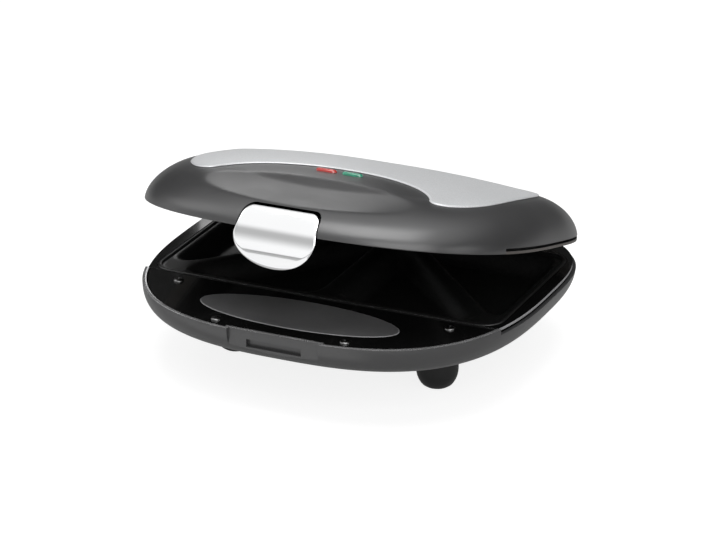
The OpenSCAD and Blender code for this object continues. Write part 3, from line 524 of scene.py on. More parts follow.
# Near-black finish laid on the upper plate frame as painted shade, standing in for the shadow in the gap under the
# lid's edge
painted_shade_black = Finish("painted_gap_shade", (0.004, 0.004, 0.004), 0.6) \
    .rough_spread(60, 0.05).tone_spread(25, 0.15).grain(2200, 0.00002).material
ceramic = Finish("matt_ceramic", (0.72, 0.69, 0.60), 0.62) \
    .rough_spread(120, 0.06).tone_spread(60, 0.06).grain(1400, 0.00003).material
black_plastic = Finish("black_moulded_plastic", (0.014, 0.014, 0.014), 0.42) \
    .rough_spread(60, 0.05).tone_spread(25, 0.15).grain(2200, 0.00002).material
pad_rubber = Finish("pad_rubber", (0.03, 0.03, 0.03), 0.78) \
    .rough_spread(120, 0.06).tone_spread(80, 0.2).grain(1500, 0.00004).material
silver_panel = Finish("satin_silver_paint", (0.71, 0.72, 0.73), 0.38, 0.12) \
    .rough_spread(40, 0.03).tone_spread(1800, 0.10, 1).grain(2400, 0.00001).material
frame_grey = Finish("warm_grey_frame", (0.105, 0.092, 0.082), 0.45) \
    .rough_spread(60, 0.05).tone_spread(25, 0.12).grain(2000, 0.00002).material
LENS_COAT = {"Coat_Weight": 1, "Coat_IOR": 1.7, "Coat_Roughness": 0.04}
red_glass = Finish("red_lens_plastic", (0.54, 0.014, 0.004), 0.07, **LENS_COAT) \
    .rough_spread(150, 0.03).tone_spread(260, 0.25).grain(700, 0.00003).material
green_glass = Finish("green_lens_plastic", (0.0, 0.27, 0.15), 0.07, **LENS_COAT) \
    .rough_spread(150, 0.03).tone_spread(260, 0.25).grain(700, 0.00003).material
holder_white = Finish("white_holder_plastic", (0.72, 0.72, 0.70), 0.5) \
    .rough_spread(60, 0.05).tone_spread(40, 0.05).grain(1500, 0.00002).material
lamp_glass = Finish("lamp_glass", (0.85, 0.45, 0.22), 0.08, Coat_Weight=0.5) \
    .rough_spread(120, 0.02).tone_spread(90, 0.15).grain(500, 0.00001).material
latch_chrome = Finish("latch_chrome", (0.955, 0.96, 0.965), 0.08, 1.0) \
    .rough_spread(70, 0.02).tone_spread(30, 0.01).grain(160, 0.000004).material

FINISHES = {"dark_shell": dark_shell, "gloss_black": gloss_black, "inlay_grey": inlay_grey,
            "nonstick": nonstick, "element_steel": element_steel, "sheet_metal": sheet_metal,
            "screw_steel": screw_steel, "screw_black": screw_black, "ceramic": ceramic,
            "black_plastic": black_plastic, "pad_rubber": pad_rubber, "silver_panel": silver_panel,
            "frame_grey": frame_grey, "red_lens": red_glass, "green_lens": green_glass,
            "holder_white": holder_white, "lamp_glass": lamp_glass, "latch_chrome": latch_chrome}
for part in frame["record"]["subparts"]:
    node = frame["nodes"][part["node"]]
    finish_of_node = FINISHES[part["material_slot"]]
    if not node.material_slots:
        node.data.materials.append(finish_of_node)
    for s in node.material_slots:
        s.material = finish_of_node

# ---------------------------------------------------------------- shapes of the casings


def level_ring(w, f, r, z):
    return [(*oval_point(t, w, f, r), z) for t in ANGLES]


def bowl_ring(u, inset):
    """Ring of the rounded side of the bowl, from its rim at u = 0 to its foot at a quarter turn"""
    k = 1 - math.cos(u) ** (2 / BOWL_SQUARE)
    z = RIM_Z - (BOWL_H - inset) * math.sin(u) ** (2 / BOWL_SQUARE)
    return level_ring(HALF_W - inset - BOWL_SIDE_IN * k, FRONT - inset - BOWL_FRONT_IN * k,
                      REAR - inset - BOWL_REAR_IN * k, z)


def blend_rings(a, b, n):
    """n rings between two rings, without the ends"""
    return [[tuple(p + (q - p) * i / (n + 1) for p, q in zip(pa, pb)) for pa, pb in zip(a, b)]
            for i in range(1, n + 1)]


def floor_ring(inset, m=1.0):
    """Ring of the floor of the bowl, m times its full size"""
    return level_ring((HALF_W - BOWL_SIDE_IN - FLOOR_IN) * m, (FRONT - BOWL_FRONT_IN - FLOOR_IN) * m,
                      (REAR - BOWL_REAR_IN - FLOOR_REAR_IN) * m, FLOOR_Z + inset)


# On each side of the notch, the points of a ring that mark its end and the casing's front beside it
NOTCH_ENDS = {}
for side in (-1, 1):
    ahead = sorted((side * x, i) for i, (x, y) in enumerate(outline(0)) if y < WIDEST_Y - 100)
    NOTCH_ENDS[side] = [max((x, i) for x, i in ahead if x <= NOTCH_HALF)[1],
                        min((x, i) for x, i in ahead if x > NOTCH_HALF)[1]]


def with_notch(ring, face, half):
    """The ring held back to a flat face across the notch, with its ends at exact places"""
    if min(p[1] for p in ring) > face - 0.01:
        return ring
    ahead = sorted((p[0], p[1]) for p in ring if p[1] < WIDEST_Y - 90)
    placed = [(x, max(y, face) if abs(x) < half else y, z) for x, y, z in ring]
    for side, ends in NOTCH_ENDS.items():
        for i, x in zip(ends, (half, half + NOTCH_STEP)):
            y = float(np.interp(side * x, [p[0] for p in ahead], [p[1] for p in ahead]))
            placed[i] = (side * x, max(y, face) if x == half else y, ring[i][2])
    return placed


def dome_height(k):
    """Height over the rim of the lid at the run k of its rounded side"""
    rise = math.sqrt(max(0, 1 - (1 - k) ** DOME_SQUARE))
    s = 1 - DOME_SIDE_IN * k / HALF_W
    return DOME_H * rise ** (2 / DOME_SQUARE) + CROWN_H * (1 - s * s)


def scoop_at(x, y):
    """Depth of the finger scoop"""
    q = (x / (SCOOP_W / 2)) ** 2 + ((y - WIDEST_Y + SCOOP_AT) / (SCOOP_D / 2)) ** 2
    return SCOOP_DEEP * (1 - q) if q < 1 else 0


def dome_ring(u, inset):
    """Ring of the rounded side of the lid, from its rim at u = 0 to its crown at a quarter turn"""
    k = 1 - math.cos(u) ** (2 / DOME_SQUARE)
    s = 1 - DOME_SIDE_IN * k / HALF_W
    z = LID_Z + (DOME_H - inset) * math.sin(u) ** (2 / DOME_SQUARE) + CROWN_H * (1 - s * s)
    ring = level_ring(HALF_W - inset - DOME_SIDE_IN * k, FRONT - inset - DOME_FRONT_IN * k,
                      REAR - inset - DOME_REAR_IN * k, z)
    return [(x, y, z - scoop_at(x, y)) for x, y, z in ring]


def crown_ring(m, inset):
    """Ring of the crown of the lid, m times its full size"""
    s = (1 - DOME_SIDE_IN / HALF_W) * m
    z = LID_Z + DOME_H - inset + CROWN_H * (1 - s * s)
    ring = level_ring((HALF_W - inset - DOME_SIDE_IN) * m, (FRONT - inset - DOME_FRONT_IN) * m,
                      (REAR - inset - DOME_REAR_IN) * m, z)
    return [(x, y, z - scoop_at(x, y)) for x, y, z in ring]


def dome_z(x, y):
    """Height of the outer face of the lid over a point of its plan"""
    d = y - WIDEST_Y
    p = FRONT_SQUARE if d < 0 else REAR_SQUARE
    reach, run = (FRONT, DOME_FRONT_IN) if d < 0 else (REAR, DOME_REAR_IN)
    m = ((abs(x) / (HALF_W - DOME_SIDE_IN)) ** p + (abs(d) / (reach - run)) ** p) ** (1 / p)
    if m <= 1:
        s = (1 - DOME_SIDE_IN / HALF_W) * m
        return LID_Z + DOME_H + CROWN_H * (1 - s * s) - scoop_at(x, y)
    low, high = 0.0, 1.0
    for _ in range(24):
        k = (low + high) / 2
        q = (abs(x) / (HALF_W - DOME_SIDE_IN * k)) ** p + (abs(d) / (reach - run * k)) ** p
        low, high = (k, high) if q < 1 else (low, k)
    return LID_Z + dome_height((low + high) / 2) - scoop_at(x, y)


def latch_plan(inset, lift=0, step=3):
    """Front view of the latch, as (x, z): a half ellipse below and two round corners above"""
    def arc(x, z, w, h, start, end, step):
        turns = [math.radians(a) for a in range(start, end + 1, step)]
        return [(x + w * math.cos(a), z + h * math.sin(a)) for a in turns]

    w = LATCH_W / 2 - inset
    x = w - LATCH_TAPER - LATCH_ROUND
    top = RIM_Z + LATCH_UP - inset + lift - LATCH_ROUND
    return (arc(0, RIM_Z - LATCH_MID, w, LATCH_DOWN - LATCH_MID - inset, 180, 360, step)
            + arc(x, top, LATCH_ROUND, LATCH_ROUND, 0, 90, 6) + arc(-x, top, LATCH_ROUND, LATCH_ROUND, 90, 180, 6))


def upright(obj, y0):
    """A prism drawn on (x, z) is stood up, with its height running forward from y0"""
    obj.data.transform(Matrix(((1, 0, 0, 0), (0, 0, -1, y0), (0, 1, 0, 0), (0, 0, 0, 1))))
    outwards(obj)
    return obj


def along_y(name, x, z, y0, y1, r):
    """Round bar that lies along y"""
    return upright(prism(name, circle(x, z, r, 48), 0, y1 - y0), y1)


def room_for_bracket(s, y1, z0, z1):
    """What the hinge bracket on side s takes out of the pieces round it"""
    half = BRACKET_W / 2 + GAP
    return brick("bracket_room", s * HINGE_X - half, s * HINGE_X + half, BACK_Y - BRACKET_D, y1, z0, z1)


# ---------------------------------------------------------------- base casing

QUARTER = math.pi / 2
OUTER_STEPS, INNER_STEPS = 26, 14
# Sections of the rounded rims, as (distance in from the outer edge, height over the rim)
BASE_RIM = ((0, -0.55), (0.16, -0.16), (0.55, 0), (WALL - 0.5, 0), (WALL - 0.14, -0.14), (WALL, -0.5))
LID_RIM = ((WALL, 0.5), (WALL - 0.14, 0.14), (WALL - 0.5, 0), (0.6, 0), (0.18, 0.18), (0, 0.6))

outer = [floor_ring(0, m) for m in (0.02, 0.5, 0.97)] + [floor_ring(0)]
outer += blend_rings(floor_ring(0), bowl_ring(QUARTER, 0), 4)
outer += [bowl_ring(QUARTER * (1 - i / OUTER_STEPS), 0) for i in range(OUTER_STEPS)]
outer = [with_notch(r, NOTCH_Y, NOTCH_HALF) for r in outer]
rim_edge = [with_notch(level_ring(HALF_W - i, FRONT - i, REAR - i, RIM_Z + z), NOTCH_Y + i, NOTCH_HALF + i)
            for i, z in BASE_RIM]
inner = [bowl_ring(QUARTER * i / INNER_STEPS, WALL) for i in range(1, INNER_STEPS + 1)]
inner += blend_rings(bowl_ring(QUARTER, WALL), floor_ring(WALL), 2) + [floor_ring(WALL)]
inner += [floor_ring(WALL, m) for m in (0.5, 0.02)]
inner = [with_notch(r, NOTCH_Y + WALL, NOTCH_HALF + WALL) for r in inner]
base = closed_stack("base", outer[:-1] + rim_edge + inner)

GLAND_Z, GLAND_R, GLAND_FACE, COLLAR_R = RIM_Z - 16.5, 5.5, BACK_Y - 1.5, 9
SLOT_HALF, SLOT_LOW, SLOT_TOP, SLOT_IN = 17, RIM_Z - 10.2, RIM_Z - 5.5, 2.6
SEAT_H = 11.4
VENT_X, VENT_HALF_L, VENT_HALF_W, VENT_PITCH = 26, 17, 1.5, 8
SIDE_RIM_DROP, SIDE_RIM_RISE = 3.6, 3.2      # what the rims of the base and of the lid lack beside the plates

combine(base, "UNION",
        brick("slot_back", -SLOT_HALF - WALL, SLOT_HALF + WALL, NOTCH_Y + 1, NOTCH_Y + SLOT_IN + WALL,
              SLOT_LOW - WALL, SLOT_TOP + WALL),
        along_y("collar", 0, GLAND_Z, BACK_Y - 16, GLAND_FACE, COLLAR_R),
        *[post("foot_seat", x, y, FLOOR_Z, FLOOR_Z + SEAT_H, FOOT_R, 64)
          for x in (-FOOT_X, FOOT_X) for y in (WIDEST_Y - FOOT_FRONT, WIDEST_Y + FOOT_REAR)])
cuts = [brick("side_rim", -HALF_W - 1, HALF_W + 1, STEP_Y, BACK_Y + 1, RIM_Z - SIDE_RIM_DROP, RIM_Z + 1),
        brick("hook_slot", -SLOT_HALF, SLOT_HALF, FRONT_Y - 1, NOTCH_Y + SLOT_IN, SLOT_LOW, SLOT_TOP),
        along_y("gland_bore", 0, GLAND_Z, BACK_Y - 20, BACK_Y + 1, GLAND_R)]
for s in (-1, 1):
    cuts.append(room_for_bracket(s, BACK_Y + 0.9, RIM_Z - BRACKET_DROP, RIM_Z + 0.9))
    for i in range(-2, 3):
        vent_y = WIDEST_Y + i * VENT_PITCH
        cuts.append(brick("vent", s * VENT_X - VENT_HALF_L, s * VENT_X + VENT_HALF_L,
                          vent_y - VENT_HALF_W, vent_y + VENT_HALF_W, FLOOR_Z - 1, FLOOR_Z + WALL + 1))
combine(base, "DIFFERENCE", *cuts)
# The top faces of the rim carry a painted highlight, a light metal line along it
finish(base, "base_shell", "base", ["base_casing"], dark_shell, smooth=32,
       accents=[(painted_edge_highlight, lambda at, out: at.z > RIM_Z - 0.4 and out.z > 0.85)])

# ---------------------------------------------------------------- front panel, inlay and screws

APRON_TOP, APRON_T, APRON_IN = RIM_Z - 0.8, 1.6, WALL + 0.7
INLAY_W, INLAY_D, INLAY_Y, INLAY_T, INLAY_RISE, INLAY_ROOM = 124, 40, WIDEST_Y - 93.2, 0.95, 0.2, 0.5
wall_half = NOTCH_HALF + WALL + GAP
panel = prism("panel", outline(APRON_IN, None, STEP_Y - GAP), APRON_TOP - APRON_T, APRON_TOP)
combine(panel, "DIFFERENCE",
        brick("latch_wall", -wall_half, wall_half, FRONT_Y - 5, NOTCH_Y + WALL + GAP, RIM_Z - 10, RIM_Z + 1),
        prism("inlay_seat", ellipse(INLAY_W + INLAY_ROOM, INLAY_D + INLAY_ROOM, INLAY_Y), APRON_TOP - 1, RIM_Z + 1))
soften(panel, width=0.4, segments=3)
finish(panel, "front_panel_plate", "base", ["front_panel"], gloss_black, even=True)


def on_bevel(at, out):
    """Whether a face is on the rounded upper edge of a flat piece"""
    return 0.2 < out.z < 0.97


inlay = prism("inlay", ellipse(INLAY_W, INLAY_D, INLAY_Y), APRON_TOP - INLAY_T, APRON_TOP + INLAY_RISE)
soften(inlay, width=0.45, segments=3)
# Its bevel carries a painted highlight, a pale line round the inlay
finish(inlay, "grip_inlay_plate", "base", ["grip_inlay"], inlay_grey, even=True,
       accents=[(painted_pale_highlight, on_bevel)])

SHANK_R, SHANK_L = 1.45, 9
SCREW_HEAD = ((3.1, 0), (3.1, 0.35), (2.95, 0.7), (2.55, 1.0), (1.9, 1.24), (1.0, 1.37), (0.1, 1.39))
CROSS_HALF_L, CROSS_HALF_W, CROSS_Z = 1.75, 0.42, 0.6


def cross_screw(x, y, z, turn):
    """Pan-head screw with a cross recess, its head's underside at z"""
    profile = [(0.05, z - SHANK_L), (SHANK_R, z - SHANK_L), (SHANK_R, z)] + [(r, z + h) for r, h in SCREW_HEAD]
    screw = closed_stack("screw", turned_rings(x, y, profile, 40))
    for a in (turn, turn + 90):
        bar = brick("cross", -CROSS_HALF_L, CROSS_HALF_L, -CROSS_HALF_W, CROSS_HALF_W, z + CROSS_Z, z + 3)
        bar.data.transform(Matrix.Translation((x, y, 0)) @ Matrix.Rotation(math.radians(a), 4, "Z"))
        combine(screw, "DIFFERENCE", bar)
    return screw


panel_screws = [(s * x, WIDEST_Y - y) for s in (-1, 1) for x, y in SCREW_PLACES]
screws = join(*[cross_screw(x, y, APRON_TOP + 0.05, 20 + 37 * i) for i, (x, y) in enumerate(panel_screws)])
finish(screws, "front_panel_screws", "base", ["panel_screws"], screw_black, smooth=50)

# ---------------------------------------------------------------- surround of the lower plate

FRAME_T, FRAME_IN, FRAME_DROP, LEDGE = 5, WALL + 1.1, 0.4, 3
LIP_T, LIP_IN, LIP_EDGE = 1.6, 2, 2.9
BOSS_ROOM_R, FRONT_BAR_DROP, RING_AHEAD = 4.3, 2.5, 14
SEAT_Z = RIM_Z - LAND_DROP - PLATE_T - 0.1
SURROUND_Z = RIM_Z - FRAME_DROP - FRAME_T
surround = prism("lip", outline(LIP_IN, STEP_Y), RIM_Z - FRAME_DROP - LIP_T, RIM_Z - FRAME_DROP)
combine(surround, "UNION",
        prism("ring", outline(FRAME_IN, STEP_Y - RING_AHEAD), SURROUND_Z, RIM_Z - FRAME_DROP - 0.01))
combine(surround, "DIFFERENCE",
        brick("front_bar", -HALF_W, HALF_W, STEP_Y - 20, STEP_Y, RIM_Z - FRONT_BAR_DROP, RIM_Z + 1),
        prism("seat", plate_outline(GAP), SEAT_Z, RIM_Z + 1),
        prism("opening", plate_outline(-LEDGE), SURROUND_Z - 1, RIM_Z))
for s in (-1, 1):
    boss_x, boss_in = SCREW_PLACES[0]
    combine(surround, "DIFFERENCE",
            room_for_bracket(s, BACK_Y + 1, SURROUND_Z - 1, RIM_Z + 1),
            post("sink", s * REAR_SCREW_X, BACK_Y - REAR_SCREW_IN, RIM_Z - 2, RIM_Z + 1, HEAD_ROOM_R),
            post("bore", s * REAR_SCREW_X, BACK_Y - REAR_SCREW_IN, SURROUND_Z - 1, RIM_Z, BORE_R),
            post("boss_room", s * boss_x, WIDEST_Y - boss_in, SURROUND_Z - 1, RIM_Z + 1, BOSS_ROOM_R))
soften(surround, width=0.4, segments=2)


def on_lip(at, out):
    """Whether a face is on the outermost edge of the surround"""
    p = FRONT_SQUARE if at.y < WIDEST_Y else REAR_SQUARE
    reach = (FRONT if at.y < WIDEST_Y else REAR) - LIP_EDGE
    return (abs(at.x) / (HALF_W - LIP_EDGE)) ** p + (abs(at.y - WIDEST_Y) / reach) ** p > 1


def on_front_bevel(at, out):
    return at.z > RIM_Z - 1 and at.y < STEP_Y + 3 and on_bevel(at, out)


# Its outer lip and its front bevel carry painted highlights, light lines along these edges
finish(surround, "plate_surround_ring", "base", ["plate_surround"], gloss_black, even=True,
       accents=[(painted_pale_highlight, on_lip), (painted_edge_highlight, on_front_bevel)])

# ---------------------------------------------------------------- plates

LAND_W, RIDGE_W, BEAD_W, POCKET_EDGE = 9, 3, 2.6, 2.5
POCKET_W = (PLATE_W - 2 * BEAD_W - 2 * POCKET_EDGE - LAND_W) / 2
POCKET_D = PLATE_D - 2 * BEAD_W - 2 * POCKET_EDGE
LEG_W, LEG_D = POCKET_W - RIDGE_W * 1.5, POCKET_D - RIDGE_W * 1.5
CORNER_CUT, TIP_CUT, CREASE = 7, 10, 2.2      # off the square corner and the tips of a pocket, and where walls meet
WALL_START, WALL_RUN = -0.12, 1.2             # of a pocket's wall, in parts of POCKET_IN
BEAD = ((0, -0.6), (0.3, -0.18), (0.9, 0), (1.7, 0), (2.3, -0.2), (2.9, -1.0), (3.4, -LAND_DROP))
BEAD_FOOT = 3.3                               # distance from the edge at which the pockets may start


def pocket_fall(x, y):
    """Depth of the pockets under the land of the plate, for arrays of points"""
    fall = np.zeros(len(x))
    y0 = PLATE_MID_Y - POCKET_D / 2
    slant = math.hypot(LEG_W, LEG_D)
    for s in (-1, 1):
        for cx, cy, sx, sy in ((s * LAND_W / 2, y0, s, 1), (s * (LAND_W / 2 + POCKET_W), y0 + POCKET_D, -s, -1)):
            a, b = (x - cx) * sx, (y - cy) * sy
            sides = [a, b, (LEG_W * LEG_D - LEG_D * a - LEG_W * b) / slant, (a + b - CORNER_CUT) / math.sqrt(2),
                     LEG_W - TIP_CUT - a, LEG_D - TIP_CUT - b]
            inside = -CREASE * np.log(sum(np.exp(-np.clip(d, -60, 60) / CREASE) for d in sides))
            t = np.clip((inside / POCKET_IN - WALL_START) / WALL_RUN, 0, 1)
            fall = np.maximum(fall, POCKET_H * t * t * (3 - 2 * t))
    return fall


def plate_heights(xy, d):
    fall = np.where(d > BEAD_FOOT, pocket_fall(xy[:, 0], xy[:, 1]), 0)
    return np.column_stack([xy, RIM_Z + edge_lift(d, BEAD) - fall])


lower = sheet("lower_plate", resample(plate_outline(0, 24), 2.2), insets=(0.3, 0.6, 0.8, 0.6, 0.6, 0.5), step=1.7,
              place=plate_heights)
outwards(lower)
thicken(lower, PLATE_T - 0.2)
upper = copy_of(lower, "upper_plate")
upper.data.transform(Matrix.Translation((0, 0, RIM_Z + LID_Z)) @ Matrix.Scale(-1, 4, (0, 0, 1)))
turn_inside_out(upper)
finish(lower, "lower_sandwich_plate", "base", ["lower_plate"], nonstick, smooth=60)
finish(upper, "upper_sandwich_plate", "lid", ["upper_plate"], nonstick, smooth=60)

# ---------------------------------------------------------------- lid shell

DOME_STEPS = 30
LENS_X, LENS_AT, LENS_W, LENS_D, LENS_ROOM = 8.2, 49, 13, 4.8, 0.15
LATCH_ROOM, LATCH_LIFT_ROOM = 0.6, 0.65
ARM_ROOM_IN, ARM_ROOM_OVER = 14, 6.3           # before the back wall and over the axis of the hinge

dome_in = [crown_ring(m, WALL) for m in (0.02, 0.35, 0.7)]
dome_in += [dome_ring(QUARTER * (1 - i / INNER_STEPS), WALL) for i in range(INNER_STEPS)]
lid_edge = [level_ring(HALF_W - i, FRONT - i, REAR - i, LID_Z + z) for i, z in LID_RIM]
dome_out = [dome_ring(QUARTER * i / DOME_STEPS, 0) for i in range(2, DOME_STEPS + 1)]
dome_out += [crown_ring(1 - i / DOME_STEPS, 0) for i in range(1, DOME_STEPS)] + [crown_ring(0.015, 0)]
lid = closed_stack("lid", dome_in + lid_edge + dome_out)


def lens_run(s, grow):
    """Outline of the lens on side s, made larger by grow all round"""
    half, r = (LENS_W - LENS_D) / 2, LENS_D / 2 + grow
    return [(s * LENS_X + end * half + r * math.cos(a), WIDEST_Y - LENS_AT + r * math.sin(a))
            for end, start in ((1, -0.5), (-1, 0.5)) for a in (math.pi * (i / 16 + start) for i in range(17))]


lid_cuts = [upright(prism("latch_opening", latch_plan(-LATCH_ROOM, LATCH_LIFT_ROOM), 0, 30), FRONT_Y + 24),
            brick("side_rim", -HALF_W - 1, HALF_W + 1, STEP_Y, BACK_Y + 1, LID_Z - 1, LID_Z + SIDE_RIM_RISE)]
for s in (-1, 1):
    half = KNUCKLE_W / 2 + GAP
    lid_cuts.append(brick("arm_room", s * HINGE_X - half, s * HINGE_X + half,
                          BACK_Y - ARM_ROOM_IN, BACK_Y + 1.2, LID_Z - 1.2, HINGE_Z + ARM_ROOM_OVER))
    lid_cuts.append(prism("lens_hole", lens_run(s, LENS_ROOM), LID_Z + 20, LID_Z + 40))
combine(lid, "DIFFERENCE", *lid_cuts)
finish(lid, "lid_shell_dome", "lid", ["lid_shell"], dark_shell, smooth=32)

# ---------------------------------------------------------------- silver panel

PANEL_HALF, PANEL_FRONT, PANEL_REAR, PANEL_SQUARE = 96.25, 88.5, 60, 3.8
ARCH_HALF, ARCH_H, ARCH_Y = 68.25, 42, WIDEST_Y - 82
TIP = 11        # length of its two tips beside the arch that is rounded


def panel_point(t):
    c, s = math.cos(t), math.sin(t)
    e = 2 / PANEL_SQUARE
    return (math.copysign(PANEL_HALF * abs(c) ** e, c),
            WIDEST_Y + math.copysign((PANEL_FRONT if s < 0 else PANEL_REAR) * abs(s) ** e, s))


def in_arch(p):
    return (p[0] / ARCH_HALF) ** 2 + ((p[1] - ARCH_Y) / ARCH_H) ** 2 < 1


def rounded_tip(a, corner, b):
    """The points of a round corner from a to b"""
    return [tuple((1 - k) ** 2 * p + 2 * k * (1 - k) * c + k * k * q for p, c, q in zip(a, corner, b))
            for k in (i / 9 for i in range(1, 9))]


outer_run = resample([panel_point(-math.pi / 2 + 2 * math.pi * i / 4000) for i in range(4000)], 2.0)
outer_run = [p for p in outer_run if not in_arch(p)]
arch_run = [(ARCH_HALF * math.cos(math.radians(a)), ARCH_Y + ARCH_H * math.sin(math.radians(a)))
            for a in np.arange(210, -30.1, -1.0)]


def in_panel(p):
    reach = PANEL_FRONT if p[1] < WIDEST_Y else PANEL_REAR
    return (abs(p[0]) / PANEL_HALF) ** PANEL_SQUARE + (abs(p[1] - WIDEST_Y) / reach) ** PANEL_SQUARE < 1


arch_run = [p for p in arch_run if in_panel(p)]
left_tip, right_tip = arch_run[0], arch_run[-1]


def off_tips(run):
    """The points of a run that lie away from both tips of the panel"""
    return [p for p in run if min(math.dist(p, left_tip), math.dist(p, right_tip)) > TIP]


side_run, arch_run = off_tips(outer_run), off_tips(arch_run)
panel_outline = (side_run + rounded_tip(side_run[-1], left_tip, arch_run[0])
                 + arch_run + rounded_tip(arch_run[-1], right_tip, side_run[0]))
PANEL_EDGE, PANEL_T = ((0, 0.35), (0.35, 0.8), (0.9, 1.1), (1.3, 1.1)), 0.95


def drape_panel(xy, d):
    z = np.array([dome_z(x, y) for x, y in xy]) + edge_lift(d, PANEL_EDGE)
    return np.column_stack([xy, z])


panel_top = sheet("lid_panel", panel_outline, insets=(0.35, 0.55, 0.4), step=3, place=drape_panel)
outwards(panel_top)
thicken(panel_top, PANEL_T)
finish(panel_top, "silver_lid_panel", "lid", ["lid_panel"], silver_panel, smooth=40)

# ---------------------------------------------------------------- frame of the upper plate

FRAME_Z = LID_Z + FRAME_DROP
FRAME_TOP = FRAME_Z + FRAME_T
EAR_X, EAR_T, EAR_R, PIN_Y, PIN_Z, ROOM = 19.5, 3, 2.6, FRONT_Y + 13.5, LID_Z + 7, 19
UPPER_FRAME_IN, SIDE_SCREW_X, SIDE_SCREW_IN = WALL + 3.8, 92, 7
room_half = LATCH_W / 2 + LATCH_ROOM
lid_frame = prism("lid_lip", outline(GAP, STEP_Y), LID_Z, LID_Z + LIP_T)
combine(lid_frame, "UNION",
        prism("low", outline(FRAME_IN), FRAME_Z, FRAME_Z + LIP_T),
        prism("high", outline(UPPER_FRAME_IN), FRAME_Z + 0.01, FRAME_TOP))
combine(lid_frame, "DIFFERENCE",
        brick("latch_room", -room_half, room_half, FRONT_Y - 1, FRONT_Y + ROOM, LID_Z - 1, FRAME_TOP + 1))
for x0 in (-EAR_X - EAR_T, EAR_X):
    combine(lid_frame, "UNION",
            brick("ear", x0, x0 + EAR_T, PIN_Y - EAR_R, FRONT_Y + ROOM + 1, FRAME_Z, PIN_Z + EAR_R))
combine(lid_frame, "DIFFERENCE",
        prism("seat", plate_outline(GAP), LID_Z - 1, RIM_Z + LID_Z - SEAT_Z),
        prism("opening", plate_outline(-LEDGE), LID_Z - 1, FRAME_TOP + 1))
for s in (-1, 1):
    for x, y in ((s * SIDE_SCREW_X, STEP_Y - SIDE_SCREW_IN), (s * REAR_SCREW_X, BACK_Y - REAR_SCREW_IN)):
        combine(lid_frame, "DIFFERENCE",
                post("sink", x, y, LID_Z - 1, FRAME_Z + LIP_T, HEAD_ROOM_R),
                post("bore", x, y, LID_Z - 1, FRAME_TOP + 1, BORE_R))
soften(lid_frame, width=0.3, segments=2)
# Its faces above the lower part of its lip are painted black: painted shade for the gap under the lid
finish(lid_frame, "upper_plate_frame", "lid", ["lid_frame"], frame_grey, even=True,
       accents=[(painted_shade_black, lambda at, out: at.z > LID_Z + LIP_T - 0.35)])

# ---------------------------------------------------------------- latch

EDGE_W, EDGE_W_MORE = 0.7, 2.6          # width of the turned-in edge above, and what it has more at the bottom
EDGE_IN, EDGE_IN_MORE = 0.35, 0.9       # and how far it turns in
LATCH_LOW = RIM_Z - LATCH_DOWN


def bend_latch(xz, d):
    """The flat latch is bent round its axis; its edge turns in, widest along the bottom"""
    z = xz[:, 1]
    y = LATCH_AXIS_Y - np.sqrt(LATCH_CURVE ** 2 - (z - LATCH_AXIS_Z) ** 2)
    low = np.clip((LATCH_AXIS_Z + 2 - z) / (LATCH_AXIS_Z + 2 - LATCH_LOW), 0, 1)
    edge_w = EDGE_W + EDGE_W_MORE * low
    roll = np.clip((edge_w - d) / edge_w, 0, 1)
    return np.column_stack([xz[:, 0], y + roll ** 1.5 * (EDGE_IN + EDGE_IN_MORE * low), z])


cover = sheet("latch", resample(latch_plan(0, step=2), 1.1), insets=(0.25, 0.3, 0.4, 0.6, 0.8), step=1.1,
              place=bend_latch)
outwards(cover)
if np.mean([p.normal.y for p in cover.data.polygons]) > 0:
    turn_inside_out(cover)
thicken(cover, LATCH_SKIN * 0.8)
finish(cover, "chrome_latch_face", "latch", ["latch_cover"], latch_chrome, smooth=60)

# ---------------------------------------------------------------- lenses

LENS_EDGE = ((0, -4.2), (0, -1.25), (-0.18, -0.85), (-0.5, -0.5), (-0.95, -0.22), (-1.5, -0.06), (-2.1, 0))
LENS_RISE = 1.6
lens_s = (1 - DOME_SIDE_IN / HALF_W) * LENS_AT / (FRONT - DOME_FRONT_IN)
lens_top = LID_Z + DOME_H + CROWN_H * (1 - lens_s * lens_s) + LENS_RISE
for s, lens_name, glass in ((-1, "red_lens", red_glass), (1, "green_lens", green_glass)):
    rings = [[(x, y, lens_top + z) for x, y in lens_run(s, grow)] for grow, z in LENS_EDGE]
    finish(closed_stack(lens_name, rings), lens_name + "_cap", "lid", [lens_name], glass, smooth=60)

# ---------------------------------------------------------------- feet

FOOT_TOP, STEM_R = FLOOR_Z - 0.1, 3.5
FOOT_ROUND = ((1, 10.5), (0.985, 8.5), (0.95, 6.5), (0.89, 4.5), (0.81, 2.7), (0.72, 1.3), (0.64, 0.6))
PAD_SEAT = ((7.15, 0.45), (7.15, 2), (STEM_R, 2))
foot_profile = [(STEM_R, FOOT_TOP), (FOOT_R, FOOT_TOP)] + [(FOOT_R * k, z) for k, z in FOOT_ROUND] + list(PAD_SEAT)


def turned_foot(x, y):
    """A foot whose profile runs round and meets itself in the bore"""
    foot = stack("foot", turned_rings(x, y, foot_profile + foot_profile[:1], 72))
    edit_all(foot)
    bpy.ops.mesh.remove_doubles(threshold=0.001)
    leave()
    outwards(foot)
    return foot


for row, y in (("front", WIDEST_Y - FOOT_FRONT), ("rear", WIDEST_Y + FOOT_REAR)):
    feet = join(turned_foot(-FOOT_X, y), turned_foot(FOOT_X, y))
    finish(feet, row + "_feet_turned", "base", [row + "_feet"], black_plastic, smooth=40)

# ---------------------------------------------------------------- floor, light and background

FLOOR_TONE = 0.34
FLOOR_SEEN = {"Is Camera Ray": 0.85, "Is Glossy Ray": 0.2}     # glow of the floor in the picture and in reflections
BAND_DIM, SKY_LOW, AMBIENT = 0.5, 0.04, 0.3                    # dimming of the band, low glow, light on matt surfaces
FORWARD = (-0.42, -0.91)

